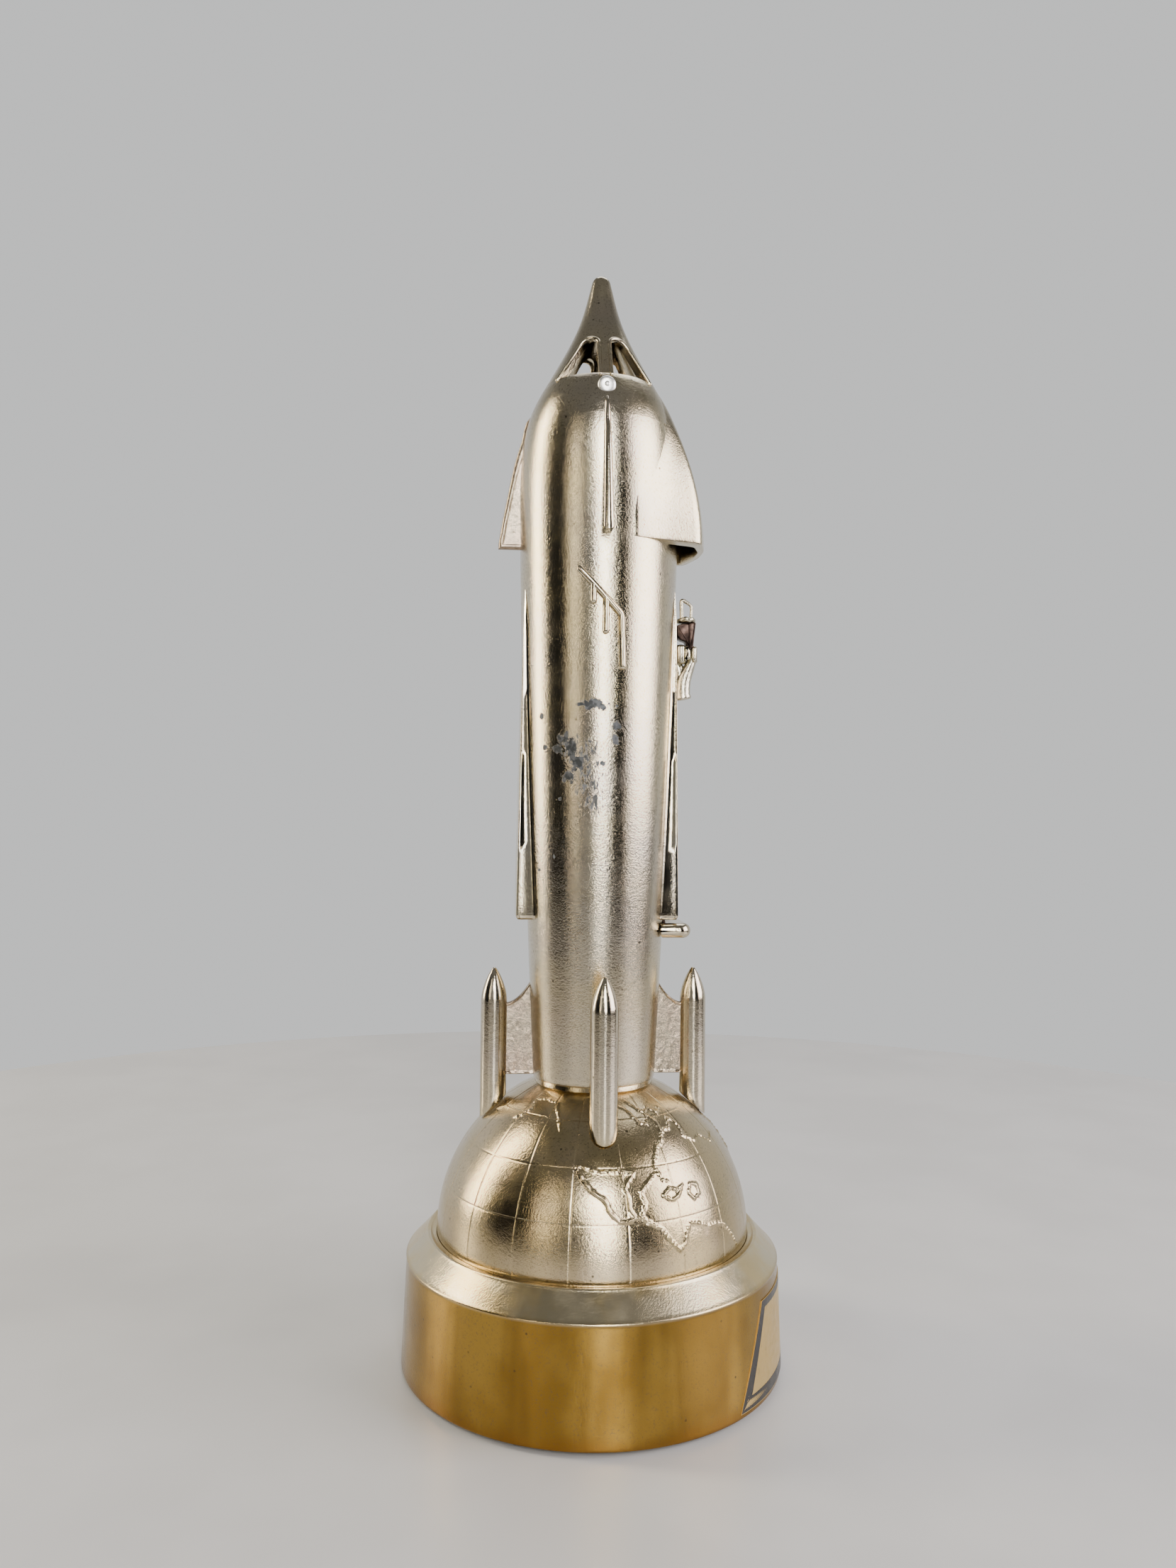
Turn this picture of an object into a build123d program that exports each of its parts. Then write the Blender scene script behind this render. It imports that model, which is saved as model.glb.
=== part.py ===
"""Mechanical coin bank in the shape of a rocket on half a globe.

A coin fed up into the hood's mouth on the +X side rests on the launcher's loop. The
thumb lever under the rail pulls the launcher down against its spring; let go, it flicks
the coin up into the hood, and the coin falls through the rocket and globe into the drum.
Millimetres, +Z up, origin at the middle of the drum's underside, front towards -Y.
"""
from build123d import *
import os
from math import atan2, cos, degrees, hypot, radians, sin, sqrt

os.makedirs("parts", exist_ok=True)

# ---------------------------------------------------------------- driving dimensions
# coin and clearances
COIN_RADIUS = 12.15
COIN_GAP = 0.55
SEAT_GAP = 0.1
RUNNING_GAP = 0.05

# drum and its closure
DRUM_FOOT_Z = 1.2
DRUM_FOOT_R = 47.0
DRUM_EDGE_Z = 27.5
DRUM_EDGE_R = 46.0
RIDGE_Z = 32.9
RIDGE_R = 40.9
DRUM_WALL = 1.9
PLATE_Z = 2.0
PLATE_THICK = 1.0
PLATE_R = 44.4
TRAP_HOLE_R = 13.5
POST_R = 2.4
POST_RING_R = 41.0
SCREW_R = 0.9
SCREW_HEAD_R = 1.9

# half globe
GLOBE_R = 38.7
GLOBE_Z = 33.0
GLOBE_WALL = 1.5
FLANGE_Z = 26.5
FLANGE_THICK = 1.5
FLANGE_R = 43.3

# rocket body
BODY_FOOT_Z = 70.0
BODY_FOOT_R = 15.3
BODY_MID_Z = 144.4
BODY_MID_R = 18.4
BODY_WIDE_Z = 212.0
BODY_WIDE_R = 20.2
SILL_Z = 243.6
SILL_R = 14.4
BODY_WALL = 1.5
SPIGOT_R = 13.6
SPIGOT_BORE_R = 12.4
SPIGOT_LOW_Z = 61.5

# nose
NOSE_TOP_Z = 273.9
NOSE_WALL = 1.5
NOSE_BORE_TOP_Z = 259.0
RIVET_Z = 239.8
RIVET_R = 1.2
RIVET_HEAD_R = 2.25

# comb relief, tail fins, hood and boosters
COMB_R = 0.9
COMB_RISE = 0.8
FIN_LOW_Z = 202.6
FIN_TOP_Z = 242.0
FIN_REACH = 25.6
FIN_HALF = 1.25
HOOD_REACH = 26.6
HOOD_TOP_Z = 239.4
HOOD_HALF = 14.4
HOOD_ROOT_HALF = 17.2
HOOD_ROOT_X = 9.0
HOOD_WALL = 1.3
POD_RING_R = 25.25
POD_R = 3.3
POD_SHOULDER_Z = 88.7
POD_TIP_Z = 97.0
WEB_HALF = 1.0

# side rails and the launcher
RAIL_X = 20.2
RAIL_TOP_X = 19.8
RAIL_BEVEL = 0.8
RAIL_HALF = 7.0
RAIL_LOW_Z = 109.5
RAIL_TOP_Z = 188.0
CORE_HALF = 2.8
CORE_X = 14.2
ROD_X = 17.0
ROD_R = 1.0
CHANNEL_HALF = 1.9
STROKE = 8.5
LEVER_Z = 106.8
LEVER_R = 1.85
LEVER_REACH = 23.7
LEVER_HALF = 7.6
BRACKET_LOW_Z = 180.2
BRACKET_TOP_Z = 184.1
BRACKET_HALF = 1.1
SPRING_LOW_Z = 128.0
COLLAR_Z = 160.0
HEAD_X = 20.15
LOOP_X = 22.65
LOOP_HALF = 1.4
LOOP_WIRE_R = 0.45


# ---------------------------------------------------------------- helpers
def save(shape, name):
    """Write one node; its file name is the node's name."""
    export_step(shape, os.path.join("parts", name + ".step"))


def turned(*edges):
    """Solid of revolution about Z from edges drawn as (radius, height)."""
    return revolve(Plane.XZ * make_face(edges), Axis.Z, 360)


def turned_outline(*points):
    """Solid of revolution about Z from a closed outline of straight lines."""
    return turned(*Polyline(*points, close=True).edges())


def block(x0, x1, y0, y1, z0, z1):
    """Box between two corners."""
    middle = Pos((x0 + x1) / 2, (y0 + y1) / 2, (z0 + z1) / 2)
    return middle * Box(x1 - x0, y1 - y0, z1 - z0)


def rod(x, y, z0, z1, radius):
    """Upright cylinder from z0 to z1."""
    return Pos(x, y, (z0 + z1) / 2) * Cylinder(radius, z1 - z0)


def around(count, start, ring_r):
    """Places evenly spread on a circle."""
    turns = [radians(start + 360 * i / count) for i in range(count)]
    return [(ring_r * cos(t), ring_r * sin(t)) for t in turns]


def round_tip(radius, top_z, start):
    """Quarter-like arc about a point on the axis, from an angle above level to the top."""
    low_z = top_z - radius
    spots = [(radius * cos(radians(a)), low_z + radius * sin(radians(a)))
             for a in (start, (start + 90) / 2, 90)]
    return ThreePointArc(*spots)


def drum_radius(z):
    """Outer radius of the drum's tapered side."""
    share = (z - DRUM_FOOT_Z) / (DRUM_EDGE_Z - DRUM_FOOT_Z)
    return DRUM_FOOT_R + share * (DRUM_EDGE_R - DRUM_FOOT_R)


# ---------------------------------------------------------------- drum
SCREW_PLACES = around(3, 30, POST_RING_R)
GLOBE_SCREW_PLACES = around(3, 90, POST_RING_R)
SHOULDER_UNDER_Z = 30.9


def base_drum():
    wall_low = DRUM_FOOT_R - DRUM_WALL
    wall_high = DRUM_EDGE_R - DRUM_WALL
    shell = turned_outline(
        (wall_low, DRUM_FOOT_Z), (DRUM_FOOT_R, DRUM_FOOT_Z), (DRUM_EDGE_R, DRUM_EDGE_Z),
        (RIDGE_R, RIDGE_Z), (RIDGE_R - 0.5, RIDGE_Z), (GLOBE_R + 0.9, RIDGE_Z - 0.7),
        (GLOBE_R + 0.2, SHOULDER_UNDER_Z), (RIDGE_R, SHOULDER_UNDER_Z),
        (wall_high, DRUM_EDGE_Z + 0.4))
    for x, y in SCREW_PLACES:
        reach = (wall_low + 0.4) / POST_RING_R
        rib = rod(x, y, PLATE_Z + PLATE_THICK, FLANGE_Z - 2, POST_R)
        rib += rod(x * (1 + reach) / 2, y * (1 + reach) / 2, PLATE_Z + PLATE_THICK,
                   FLANGE_Z - 2, POST_R)
        rib &= turned_outline((0, PLATE_Z), (wall_low + 0.5, PLATE_Z),
                              (wall_high + 0.5, DRUM_EDGE_Z), (0, DRUM_EDGE_Z))
        shell += rib
        shell -= rod(x, y, PLATE_Z, 10, SCREW_R + 0.02)
    for x, y in GLOBE_SCREW_PLACES:
        shell += rod(x, y, FLANGE_Z + FLANGE_THICK, SHOULDER_UNDER_Z + 0.6, 1.8)
        shell -= rod(x, y, FLANGE_Z + FLANGE_THICK - 1, SHOULDER_UNDER_Z, SCREW_R + 0.02)
    return shell


def screws(places, head_z, tip_z):
    """Three pan-head screws that point up."""
    group = []
    for x, y in places:
        screw = rod(x, y, head_z, head_z + 1.2, SCREW_HEAD_R)
        screw += rod(x, y, head_z + 1.2, tip_z, SCREW_R)
        screw -= block(x - 3, x + 3, y - 0.25, y + 0.25, head_z, head_z + 0.5)
        group.append(screw)
    return Compound(children=group)


def base_plate():
    plate = rod(0, 0, PLATE_Z, PLATE_Z + PLATE_THICK, PLATE_R)
    plate -= rod(0, 0, PLATE_Z - 1, PLATE_Z + 2 * PLATE_THICK, TRAP_HOLE_R)
    for x, y in SCREW_PLACES:
        plate -= rod(x, y, PLATE_Z - 1, PLATE_Z + 2 * PLATE_THICK, SCREW_R + 0.15)
    return plate


def foot_ring():
    ring = rod(0, 0, 0, PLATE_Z, 44.0) - rod(0, 0, -1, PLATE_Z + 1, 37.8)
    for x, y in SCREW_PLACES:
        ring -= rod(x, y, -1, PLATE_Z + 1, SCREW_HEAD_R + 0.3)
    return ring


def label_plate():
    """Thin foil on the drum's +X side: a symmetrical trapezium, wider at the bottom."""
    low_z, high_z = 2.3, 24.0
    low_half, high_half = 50.0, 37.3
    skin = 0.2
    band = turned_outline(
        (drum_radius(low_z), low_z), (drum_radius(low_z) + skin, low_z),
        (drum_radius(high_z) + skin, high_z), (drum_radius(high_z), high_z))
    low_y = DRUM_FOOT_R * sin(radians(low_half))
    high_y = DRUM_EDGE_R * sin(radians(high_half))
    outline = Polyline((-low_y, low_z), (low_y, low_z), (high_y, high_z), (-high_y, high_z),
                       close=True)
    cutter = extrude(Plane.YZ * make_face(outline), 60)
    return band & cutter


# ---------------------------------------------------------------- coin trap in the base
LOCK_Y = 4.0
LOCK_R = 5.0
LOCK_PLUG_R = 3.0
LOCK_TOP_Z = 9.0


def trap_plate():
    trap = rod(0, 0, PLATE_Z - 1.0, PLATE_Z - SEAT_GAP, TRAP_HOLE_R + 1.9)
    trap += rod(0, 0, PLATE_Z - 1.0, PLATE_Z + PLATE_THICK, TRAP_HOLE_R - 0.3)
    return trap - rod(0, LOCK_Y, 0, 12, LOCK_R)


def lock_barrel():
    barrel = rod(0, LOCK_Y, PLATE_Z - 1.0, LOCK_TOP_Z, LOCK_R)
    return barrel - rod(0, LOCK_Y, 0, LOCK_TOP_Z + 1, LOCK_PLUG_R + RUNNING_GAP)


def lock_plug():
    plug = rod(0, LOCK_Y, PLATE_Z - 0.8, LOCK_TOP_Z + 1.2, LOCK_PLUG_R)
    keyway = block(-2.0, 2.0, LOCK_Y - 0.45, LOCK_Y + 0.45, 0, 7.5)
    tail = block(-1.2, 1.2, LOCK_Y - 1.2, LOCK_Y + 1.2, LOCK_TOP_Z + 1.2, LOCK_TOP_Z + 2.0)
    return plug - keyway + tail


def lock_cam():
    """Cranked tongue: over the barrel, down its side, and out past the trap's rim."""
    low_z = PLATE_Z + PLATE_THICK + 0.3
    top_z = LOCK_TOP_Z + 1.2
    half = 1.8
    cam = rod(0, LOCK_Y, top_z, top_z + 0.8, 3.4)
    cam += block(0, 7.4, LOCK_Y - half, LOCK_Y + half, top_z, top_z + 0.8)
    cam += block(6.4, 7.4, LOCK_Y - half, LOCK_Y + half, low_z, top_z + 0.8)
    cam += block(6.4, 11.5, LOCK_Y - half, LOCK_Y + half, low_z, low_z + 0.9)
    return cam - block(-1.2, 1.2, LOCK_Y - 1.2, LOCK_Y + 1.2, top_z - 1, top_z + 2)


# ---------------------------------------------------------------- half globe
NECK_R = 14.5
GLOBE_HOLE_R = SPIGOT_R + SEAT_GAP


def globe_height(radius, at_r):
    """Height of a sphere about the globe's centre at a distance from the axis."""
    return GLOBE_Z + sqrt(radius ** 2 - at_r ** 2)


def globe_dome():
    inner_r = GLOBE_R - GLOBE_WALL
    hole_out_z = globe_height(GLOBE_R, NECK_R)
    hole_in_z = globe_height(inner_r, GLOBE_HOLE_R)
    slope = sin(radians(35)), cos(radians(35))
    outside = ThreePointArc(
        (NECK_R, hole_out_z), (GLOBE_R * slope[1], GLOBE_Z + GLOBE_R * slope[0]),
        (GLOBE_R, GLOBE_Z))
    inside = ThreePointArc(
        (inner_r, GLOBE_Z), (inner_r * slope[1], GLOBE_Z + inner_r * slope[0]),
        (GLOBE_HOLE_R, hole_in_z))
    foot = Polyline((GLOBE_R, GLOBE_Z), (GLOBE_R, FLANGE_Z + FLANGE_THICK),
                    (FLANGE_R, FLANGE_Z + FLANGE_THICK), (FLANGE_R, FLANGE_Z),
                    (inner_r, FLANGE_Z), (inner_r, GLOBE_Z))
    neck = Polyline((GLOBE_HOLE_R, hole_in_z), (GLOBE_HOLE_R, BODY_FOOT_Z),
                    (NECK_R, BODY_FOOT_Z), (NECK_R, hole_out_z))
    dome = turned(outside, *foot.edges(), inside, *neck.edges())
    for x, y in GLOBE_SCREW_PLACES:
        dome -= rod(x, y, FLANGE_Z - 1, FLANGE_Z + 2 * FLANGE_THICK, SCREW_R + 0.15)
    return dome


def body_lock_ring():
    """Ring pressed on the body's spigot under the globe's crown."""
    outer_r = SPIGOT_R + 2.6
    top_z = globe_height(GLOBE_R - GLOBE_WALL, outer_r) - 0.05
    return rod(0, 0, top_z - 2.6, top_z, outer_r) - rod(0, 0, 50, 80, SPIGOT_R)


# ---------------------------------------------------------------- rocket body
def body_side(inset):
    """Side of the body from foot to sill, as an arc and a tightening curve."""
    lower = ThreePointArc(
        (BODY_FOOT_R - inset, BODY_FOOT_Z + 2 * inset), (BODY_MID_R - inset, BODY_MID_Z),
        (BODY_WIDE_R - inset, BODY_WIDE_Z))
    upper = Spline(
        (BODY_WIDE_R - inset, BODY_WIDE_Z), (19.75 - inset, 227.4), (18.25 - inset, 235.4),
        (SILL_R - inset, SILL_Z), tangents=[(0.02, 1), (-0.5, 0.85)])
    return lower, upper


def body_solid():
    """Outside shape of the body and nose, used to seat what is fixed on it."""
    lower, upper = body_side(0)
    rest = Polyline((SILL_R, SILL_Z), (0, SILL_Z), (0, BODY_FOOT_Z), (BODY_FOOT_R, BODY_FOOT_Z))
    return turned(lower, upper, *rest.edges()) + nose_solid()


def nose_solid():
    tip = round_tip(2.45, NOSE_TOP_Z, 15)
    flank = Spline((SILL_R, SILL_Z), (9.56, 252.3), (5.5, 261.0), tip @ 0,
                   tangents=[(-0.56, 1), (-0.26, 1)])
    rest = Polyline((0, NOSE_TOP_Z), (0, SILL_Z), (SILL_R, SILL_Z))
    return turned(flank, tip, *rest.edges())


def body_tube():
    lower, upper = body_side(0)
    in_lower, in_upper = body_side(BODY_WALL)
    top = Line((SILL_R, SILL_Z), (SILL_R - BODY_WALL, SILL_Z))
    foot = Polyline((BODY_FOOT_R - BODY_WALL, BODY_FOOT_Z + 2 * BODY_WALL),
                    (SPIGOT_BORE_R, BODY_FOOT_Z + 1), (SPIGOT_BORE_R, SPIGOT_LOW_Z),
                    (SPIGOT_R, SPIGOT_LOW_Z), (SPIGOT_R, BODY_FOOT_Z), (BODY_FOOT_R, BODY_FOOT_Z))
    return turned(lower, upper, top, in_upper, in_lower, *foot.edges())


def cross_rod(z, radius):
    """Cylinder along Y through the body."""
    return Pos(0, 0, z) * Rot(90, 0, 0) * Cylinder(radius, 60)


LEVER_STEM_HALF = 1.2
WINDOW_HALF = COIN_RADIUS + COIN_GAP
WINDOW_LOW_Z = 206.0
WINDOW_TOP_Z = 232.5


def body_cuts():
    """Everything opened in the two shells."""
    rail = block(12, 24, -CORE_HALF, CORE_HALF, RAIL_LOW_Z, RAIL_TOP_Z)
    stem_low_z = LEVER_Z - LEVER_R - STROKE - 0.6
    stem = block(12, 24, -LEVER_STEM_HALF - 0.2, LEVER_STEM_HALF + 0.2, stem_low_z, RAIL_LOW_Z)
    window = block(12, 24, -WINDOW_HALF, WINDOW_HALF, WINDOW_LOW_Z, WINDOW_TOP_Z)
    return rail + stem + window + cross_rod(RIVET_Z, RIVET_R + RUNNING_GAP)


def stroke(x0, z0, x1, z1):
    """Flat bar with round ends, drawn in a front view."""
    tilt = degrees(atan2(z1 - z0, x1 - x0))
    bar = SlotCenterToCenter(hypot(x1 - x0, z1 - z0), 2 * COMB_R)
    return Pos((x0 + x1) / 2, (z0 + z1) / 2) * Rot(0, 0, tilt) * bar


def comb_trim():
    """The comb of ribs on the front: one slanting rib, a long tail and two teeth."""
    comb = stroke(-6.35, 194.2, 3.7, 183.5) + stroke(3.7, 183.5, 4.2, 171.0)
    comb += stroke(-3.0, 190.4, -3.0, 186.6)
    comb += stroke(0.0, 187.2, 0.0, 179.4)
    lower = body_side(-COMB_RISE)[0]
    top_r, top_z = BODY_WIDE_R + COMB_RISE, BODY_WIDE_Z
    foot_r, foot_z = BODY_FOOT_R + COMB_RISE, BODY_FOOT_Z - 2 * COMB_RISE
    rest = Polyline((top_r, top_z), (0, top_z), (0, foot_z), (foot_r, foot_z))
    swollen = turned(lower, *rest.edges())
    return (extrude(Plane.XZ * comb, 40) & swollen) - BODY


def nose_cone():
    inner = Polyline(
        (SILL_R - NOSE_WALL, SILL_Z), (8.0, 252.3), (4.2, NOSE_BORE_TOP_Z), (0, NOSE_BORE_TOP_Z),
        (0, SILL_Z), close=True)
    nose = nose_solid() - turned(*inner.edges())
    spigot_r = SILL_R - NOSE_WALL
    nose += rod(0, 0, 236.4, SILL_Z + 0.4, spigot_r) - rod(0, 0, 230, 250, spigot_r - 1.3)
    nose -= cross_rod(RIVET_Z, RIVET_R + RUNNING_GAP)
    for side in (-1, 1):
        window = Polyline((side * 2.0, 244.6), (side * 2.6, 255.2), (side * 11.6, 244.6),
                          close=True)
        pane = fillet(make_face(window).vertices(), 0.7)
        nose -= extrude(Plane.XZ * pane, 20, both=True)
    return nose


def top_rivet():
    """Through rivet that ties the two shells and the nose; round heads front and back."""
    seat_y = 16.45
    shank = Pos(0, 0, RIVET_Z) * Rot(90, 0, 0) * Cylinder(RIVET_R, 2 * seat_y + 1)
    for side in (-1, 1):
        head = Pos(0, side * (seat_y + 0.6), RIVET_Z) * Rot(90, 0, 0) * Cylinder(RIVET_HEAD_R, 1.8)
        shank += head - BODY
    return shank


# ---------------------------------------------------------------- what is fixed on the body
def tail_fin(turn):
    """Swept fin with a level foot; turn 0 points to +X."""
    edge = Spline((14.0, FIN_TOP_Z + 0.4), (19.7, 231.0), (23.4, 216.4), (FIN_REACH, FIN_LOW_Z + 1.4),
                  tangents=[(0.5, -1), (0.18, -1)])
    lip = Polyline((FIN_REACH, FIN_LOW_Z + 1.4), (FIN_REACH, FIN_LOW_Z), (12.0, FIN_LOW_Z),
                   (12.0, FIN_TOP_Z + 0.4), (14.0, FIN_TOP_Z + 0.4))
    blade = extrude(Plane.XZ * make_face([edge, *lip.edges()]), FIN_HALF, both=True)
    return Rot(0, 0, turn) * blade - BODY


def hood_crest(z):
    """Reach of the hood's back along +X at a height."""
    return HOOD_REACH - 0.0082 * max(z - FIN_LOW_Z, 0) ** 1.963


def hood_section(z, inset):
    """Level section of the hood: a flat-fronted trough that narrows upwards."""
    share = (z - FIN_LOW_Z) / (HOOD_TOP_Z - FIN_LOW_Z)
    taper = sqrt(1 - 0.75 * share ** 2)
    half = HOOD_HALF * taper - inset
    crest = hood_crest(z) - inset
    root_half = HOOD_ROOT_HALF * taper - inset
    points = [(HOOD_ROOT_X, root_half), (crest - 3.2, half), (crest - 1.4, half - 1.5),
              (crest, 0.3 * half)]
    mirrored = [(x, -y) for x, y in reversed(points)]
    return Pos(0, 0, z) * make_face(Polyline(*points, *mirrored, close=True))


def hood_block(inset, low_z, top_z):
    heights = [low_z + (top_z - low_z) * i / 6 for i in range(7)]
    return loft([hood_section(z, inset) for z in heights], ruled=True)


def coin_hood():
    shell = hood_block(0, FIN_LOW_Z, HOOD_TOP_Z) - BODY
    mouth = hood_block(HOOD_WALL, FIN_LOW_Z - 0.01, HOOD_TOP_Z - 3.0)
    return shell - mouth


def rail_blank():
    """Side rail with a bevelled foot, leaning in slightly, seated on the body."""
    side = Polyline((12, RAIL_LOW_Z), (RAIL_X - RAIL_BEVEL, RAIL_LOW_Z),
                    (RAIL_X, RAIL_LOW_Z + RAIL_BEVEL), (RAIL_TOP_X, RAIL_TOP_Z),
                    (12, RAIL_TOP_Z), close=True)
    return extrude(Plane.XZ * make_face(side), RAIL_HALF, both=True) - BODY


def left_strake():
    return Rot(0, 0, 180) * rail_blank()


def launch_rail():
    """Hollow rail: the launcher's rod and spring run in its square channel."""
    rail = rail_blank()
    rail += block(CORE_X, RAIL_TOP_X - 1, -CORE_HALF, CORE_HALF, RAIL_LOW_Z, RAIL_TOP_Z)
    rail -= block(ROD_X - CHANNEL_HALF, ROD_X + CHANNEL_HALF, -CHANNEL_HALF, CHANNEL_HALF,
                  RAIL_LOW_Z + 1.5, RAIL_TOP_Z - 1.5)
    slot_low_z = BRACKET_LOW_Z - STROKE - 0.4
    slot_top_z = BRACKET_TOP_Z + 0.4
    rail -= block(ROD_X, RAIL_X + 1, -BRACKET_HALF - 0.2, BRACKET_HALF + 0.2,
                  slot_low_z, slot_top_z)
    return rail - rod(ROD_X, 0, RAIL_LOW_Z - 1, RAIL_LOW_Z + 3, ROD_R + RUNNING_GAP)


def spring_seat():
    """Washer fixed across the channel, under the spring."""
    half = CHANNEL_HALF
    seat = block(ROD_X - half, ROD_X + half, -half, half, SPRING_LOW_Z - 1.2, SPRING_LOW_Z)
    return seat - rod(ROD_X, 0, SPRING_LOW_Z - 3, SPRING_LOW_Z + 3, ROD_R + RUNNING_GAP)


def booster_fin(turn, tip_z):
    """Pointed pod on a web; the pod's foot follows the globe without touching it."""
    shoulder_z = POD_SHOULDER_Z + tip_z - POD_TIP_Z
    tip = round_tip(0.7, tip_z, 35)
    ogive = Spline((POD_R, shoulder_z), (0.66 * POD_R, tip_z - 3.3), tip @ 0,
                   tangents=[(0, 1), (-0.57, 0.82)])
    rest = Polyline((0, tip_z), (0, 55), (POD_R, 55), (POD_R, shoulder_z))
    pod = Pos(POD_RING_R, 0, 0) * turned(ogive, tip, *rest.edges())
    sweep = ThreePointArc((15.6, 94.2), (18.4, 90.0), (23.0, 88.1))
    web_rest = Polyline((23.0, 88.1), (23.0, 70.2), (12.0, 70.2), (12.0, 94.2), (15.6, 94.2))
    web = extrude(Plane.XZ * make_face([sweep, *web_rest.edges()]), WEB_HALF, both=True)
    fin = pod + (web - BODY)
    return Rot(0, 0, turn) * (fin - Pos(0, 0, GLOBE_Z) * Sphere(GLOBE_R + 0.25))


# ---------------------------------------------------------------- launcher, all on one slide
def firing_rod():
    shaft = rod(ROD_X, 0, LEVER_Z, BRACKET_TOP_Z, ROD_R)
    return shaft + rod(ROD_X, 0, COLLAR_Z, COLLAR_Z + 1.5, CHANNEL_HALF - 0.2)


def thumb_lever():
    """Wide thumb tab, round at its edges, hollowed to the body's curve."""
    low_z = LEVER_Z - LEVER_R
    tab = block(10, LEVER_REACH, -LEVER_HALF, LEVER_HALF, low_z, LEVER_Z + LEVER_R)
    tab = fillet(tab.edges().filter_by(Axis.Z).group_by(Axis.X)[-1], 3.0)
    levels = tab.faces().sort_by(Axis.Z)
    rim = [e for e in levels[-1].edges() + levels[0].edges() if e.center().X > 12]
    tab = fillet(rim, LEVER_R - 0.1)
    tab -= rod(0, 0, low_z - 1, LEVER_Z + LEVER_R + 1, 17.35)
    stem = block(CORE_X + 1.2, 18.6, -LEVER_STEM_HALF, LEVER_STEM_HALF, low_z + 0.2, LEVER_Z + 1.6)
    return tab + stem - rod(ROD_X, 0, LEVER_Z, LEVER_Z + 5, ROD_R)


def main_spring():
    """Compression spring between the seat and the rod's collar."""
    wire_r = 0.25
    coil_r = 1.45
    height = COLLAR_Z - SPRING_LOW_Z - 2 * wire_r
    turns = 16
    path = Helix(height / turns, height, coil_r)
    section = Plane(origin=path @ 0, z_dir=path % 0) * Circle(wire_r)
    return Pos(ROD_X, 0, SPRING_LOW_Z + wire_r) * sweep(section, path)


def launcher_bracket():
    """Dark steel block with a tongue that reaches the rod through the rail's slot."""
    tongue = block(ROD_X, HEAD_X + 0.2, -BRACKET_HALF, BRACKET_HALF, BRACKET_LOW_Z, BRACKET_TOP_Z)
    tongue -= rod(ROD_X, 0, 170, 190, ROD_R)
    side = Polyline((HEAD_X, 184.9), (24.9, 184.9), (24.6, 179.6), (23.0, 178.6),
                    (22.2, 180.4), (HEAD_X, 180.2), close=True)
    return tongue + extrude(Plane.XZ * make_face(side), 2.0, both=True)


def launcher_fork():
    """Oval flange under a closed loop, higher next to the body; the coin rests on the loop."""
    flange = Pos(LOOP_X, 0, 185.6) * extrude(Ellipse(2.5, 3.2), 0.7, both=True)
    path = FilletPolyline((LOOP_X - LOOP_HALF, 0, 186.0), (LOOP_X - LOOP_HALF, 0, 190.4),
                          (LOOP_X + LOOP_HALF, 0, 189.4), (LOOP_X + LOOP_HALF, 0, 186.0),
                          radius=0.6)
    section = Plane(origin=path @ 0, z_dir=path % 0) * Circle(LOOP_WIRE_R)
    return flange + sweep(section, path)


def launcher_sleeve():
    """Split collar under the block."""
    middle_x = 22.75
    sleeve = rod(middle_x, 0, 174.9, 178.6, 2.6)
    notch = Polyline((middle_x - 1.2, 180), (middle_x, 176.2), (middle_x + 1.2, 180), close=True)
    sleeve -= extrude(Plane.XZ * make_face(notch), 4, both=True)
    return sleeve - launcher_bracket()


def launcher_arm():
    """Slanting arm that ends in a short upright boot."""
    side = Polyline((21.6, 174.9), (24.6, 174.9), (23.4, 171.6), (23.4, 165.6), (22.9, 165.0),
                    (20.6, 165.0), (HEAD_X, 165.6), (HEAD_X, 171.0), close=True)
    arm = extrude(Plane.XZ * make_face(side), 1.7, both=True)
    return fillet(arm.edges().filter_by(Axis.Z), 0.6)


# ---------------------------------------------------------------- build every node
BODY = body_solid()
TUBE = body_tube() - body_cuts()
FRONT_HALF = block(-60, 60, -60, 0, 0, 300)
BACK_HALF = block(-60, 60, 0, 60, 0, 300)

save(base_drum(), "base_drum")
save(foot_ring(), "foot_ring")
save(base_plate(), "base_plate")
save(screws(SCREW_PLACES, PLATE_Z - 1.2, 9.0), "base_screws")
save(label_plate(), "label_plate")
save(globe_dome(), "globe_dome")
save(screws(GLOBE_SCREW_PLACES, FLANGE_Z - 1.2, SHOULDER_UNDER_Z - 0.2), "globe_screws")
save(body_lock_ring(), "body_lock_ring")

save(TUBE & FRONT_HALF, "body_front_shell")
save(TUBE & BACK_HALF, "body_back_shell")
save(comb_trim() - BODY, "comb_trim")
save(nose_cone(), "nose_cone")
save(top_rivet(), "top_rivet")
save(coin_hood(), "coin_hood")
save(left_strake(), "left_strake")
save(launch_rail(), "launch_rail")
save(spring_seat(), "spring_seat")
for name, turn in (("back", 90), ("left", 180), ("front", 270)):
    save(tail_fin(turn), name + "_tail_fin")
for name, turn, tip_z in (("right", 0, POD_TIP_Z), ("back", 90, POD_TIP_Z),
                          ("left", 180, POD_TIP_Z), ("front", 270, POD_TIP_Z + 1.1)):
    save(booster_fin(turn, tip_z), name + "_booster_fin")

save(firing_rod(), "firing_rod")
save(thumb_lever(), "thumb_lever")
save(main_spring(), "main_spring")
save(launcher_bracket(), "launcher_bracket")
save(launcher_fork(), "launcher_fork")
save(launcher_sleeve(), "launcher_sleeve")
save(launcher_arm(), "launcher_arm")

save(trap_plate(), "trap_plate")
save(lock_barrel(), "lock_barrel")
save(lock_plug(), "lock_plug")
save(lock_cam(), "lock_cam")
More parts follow.
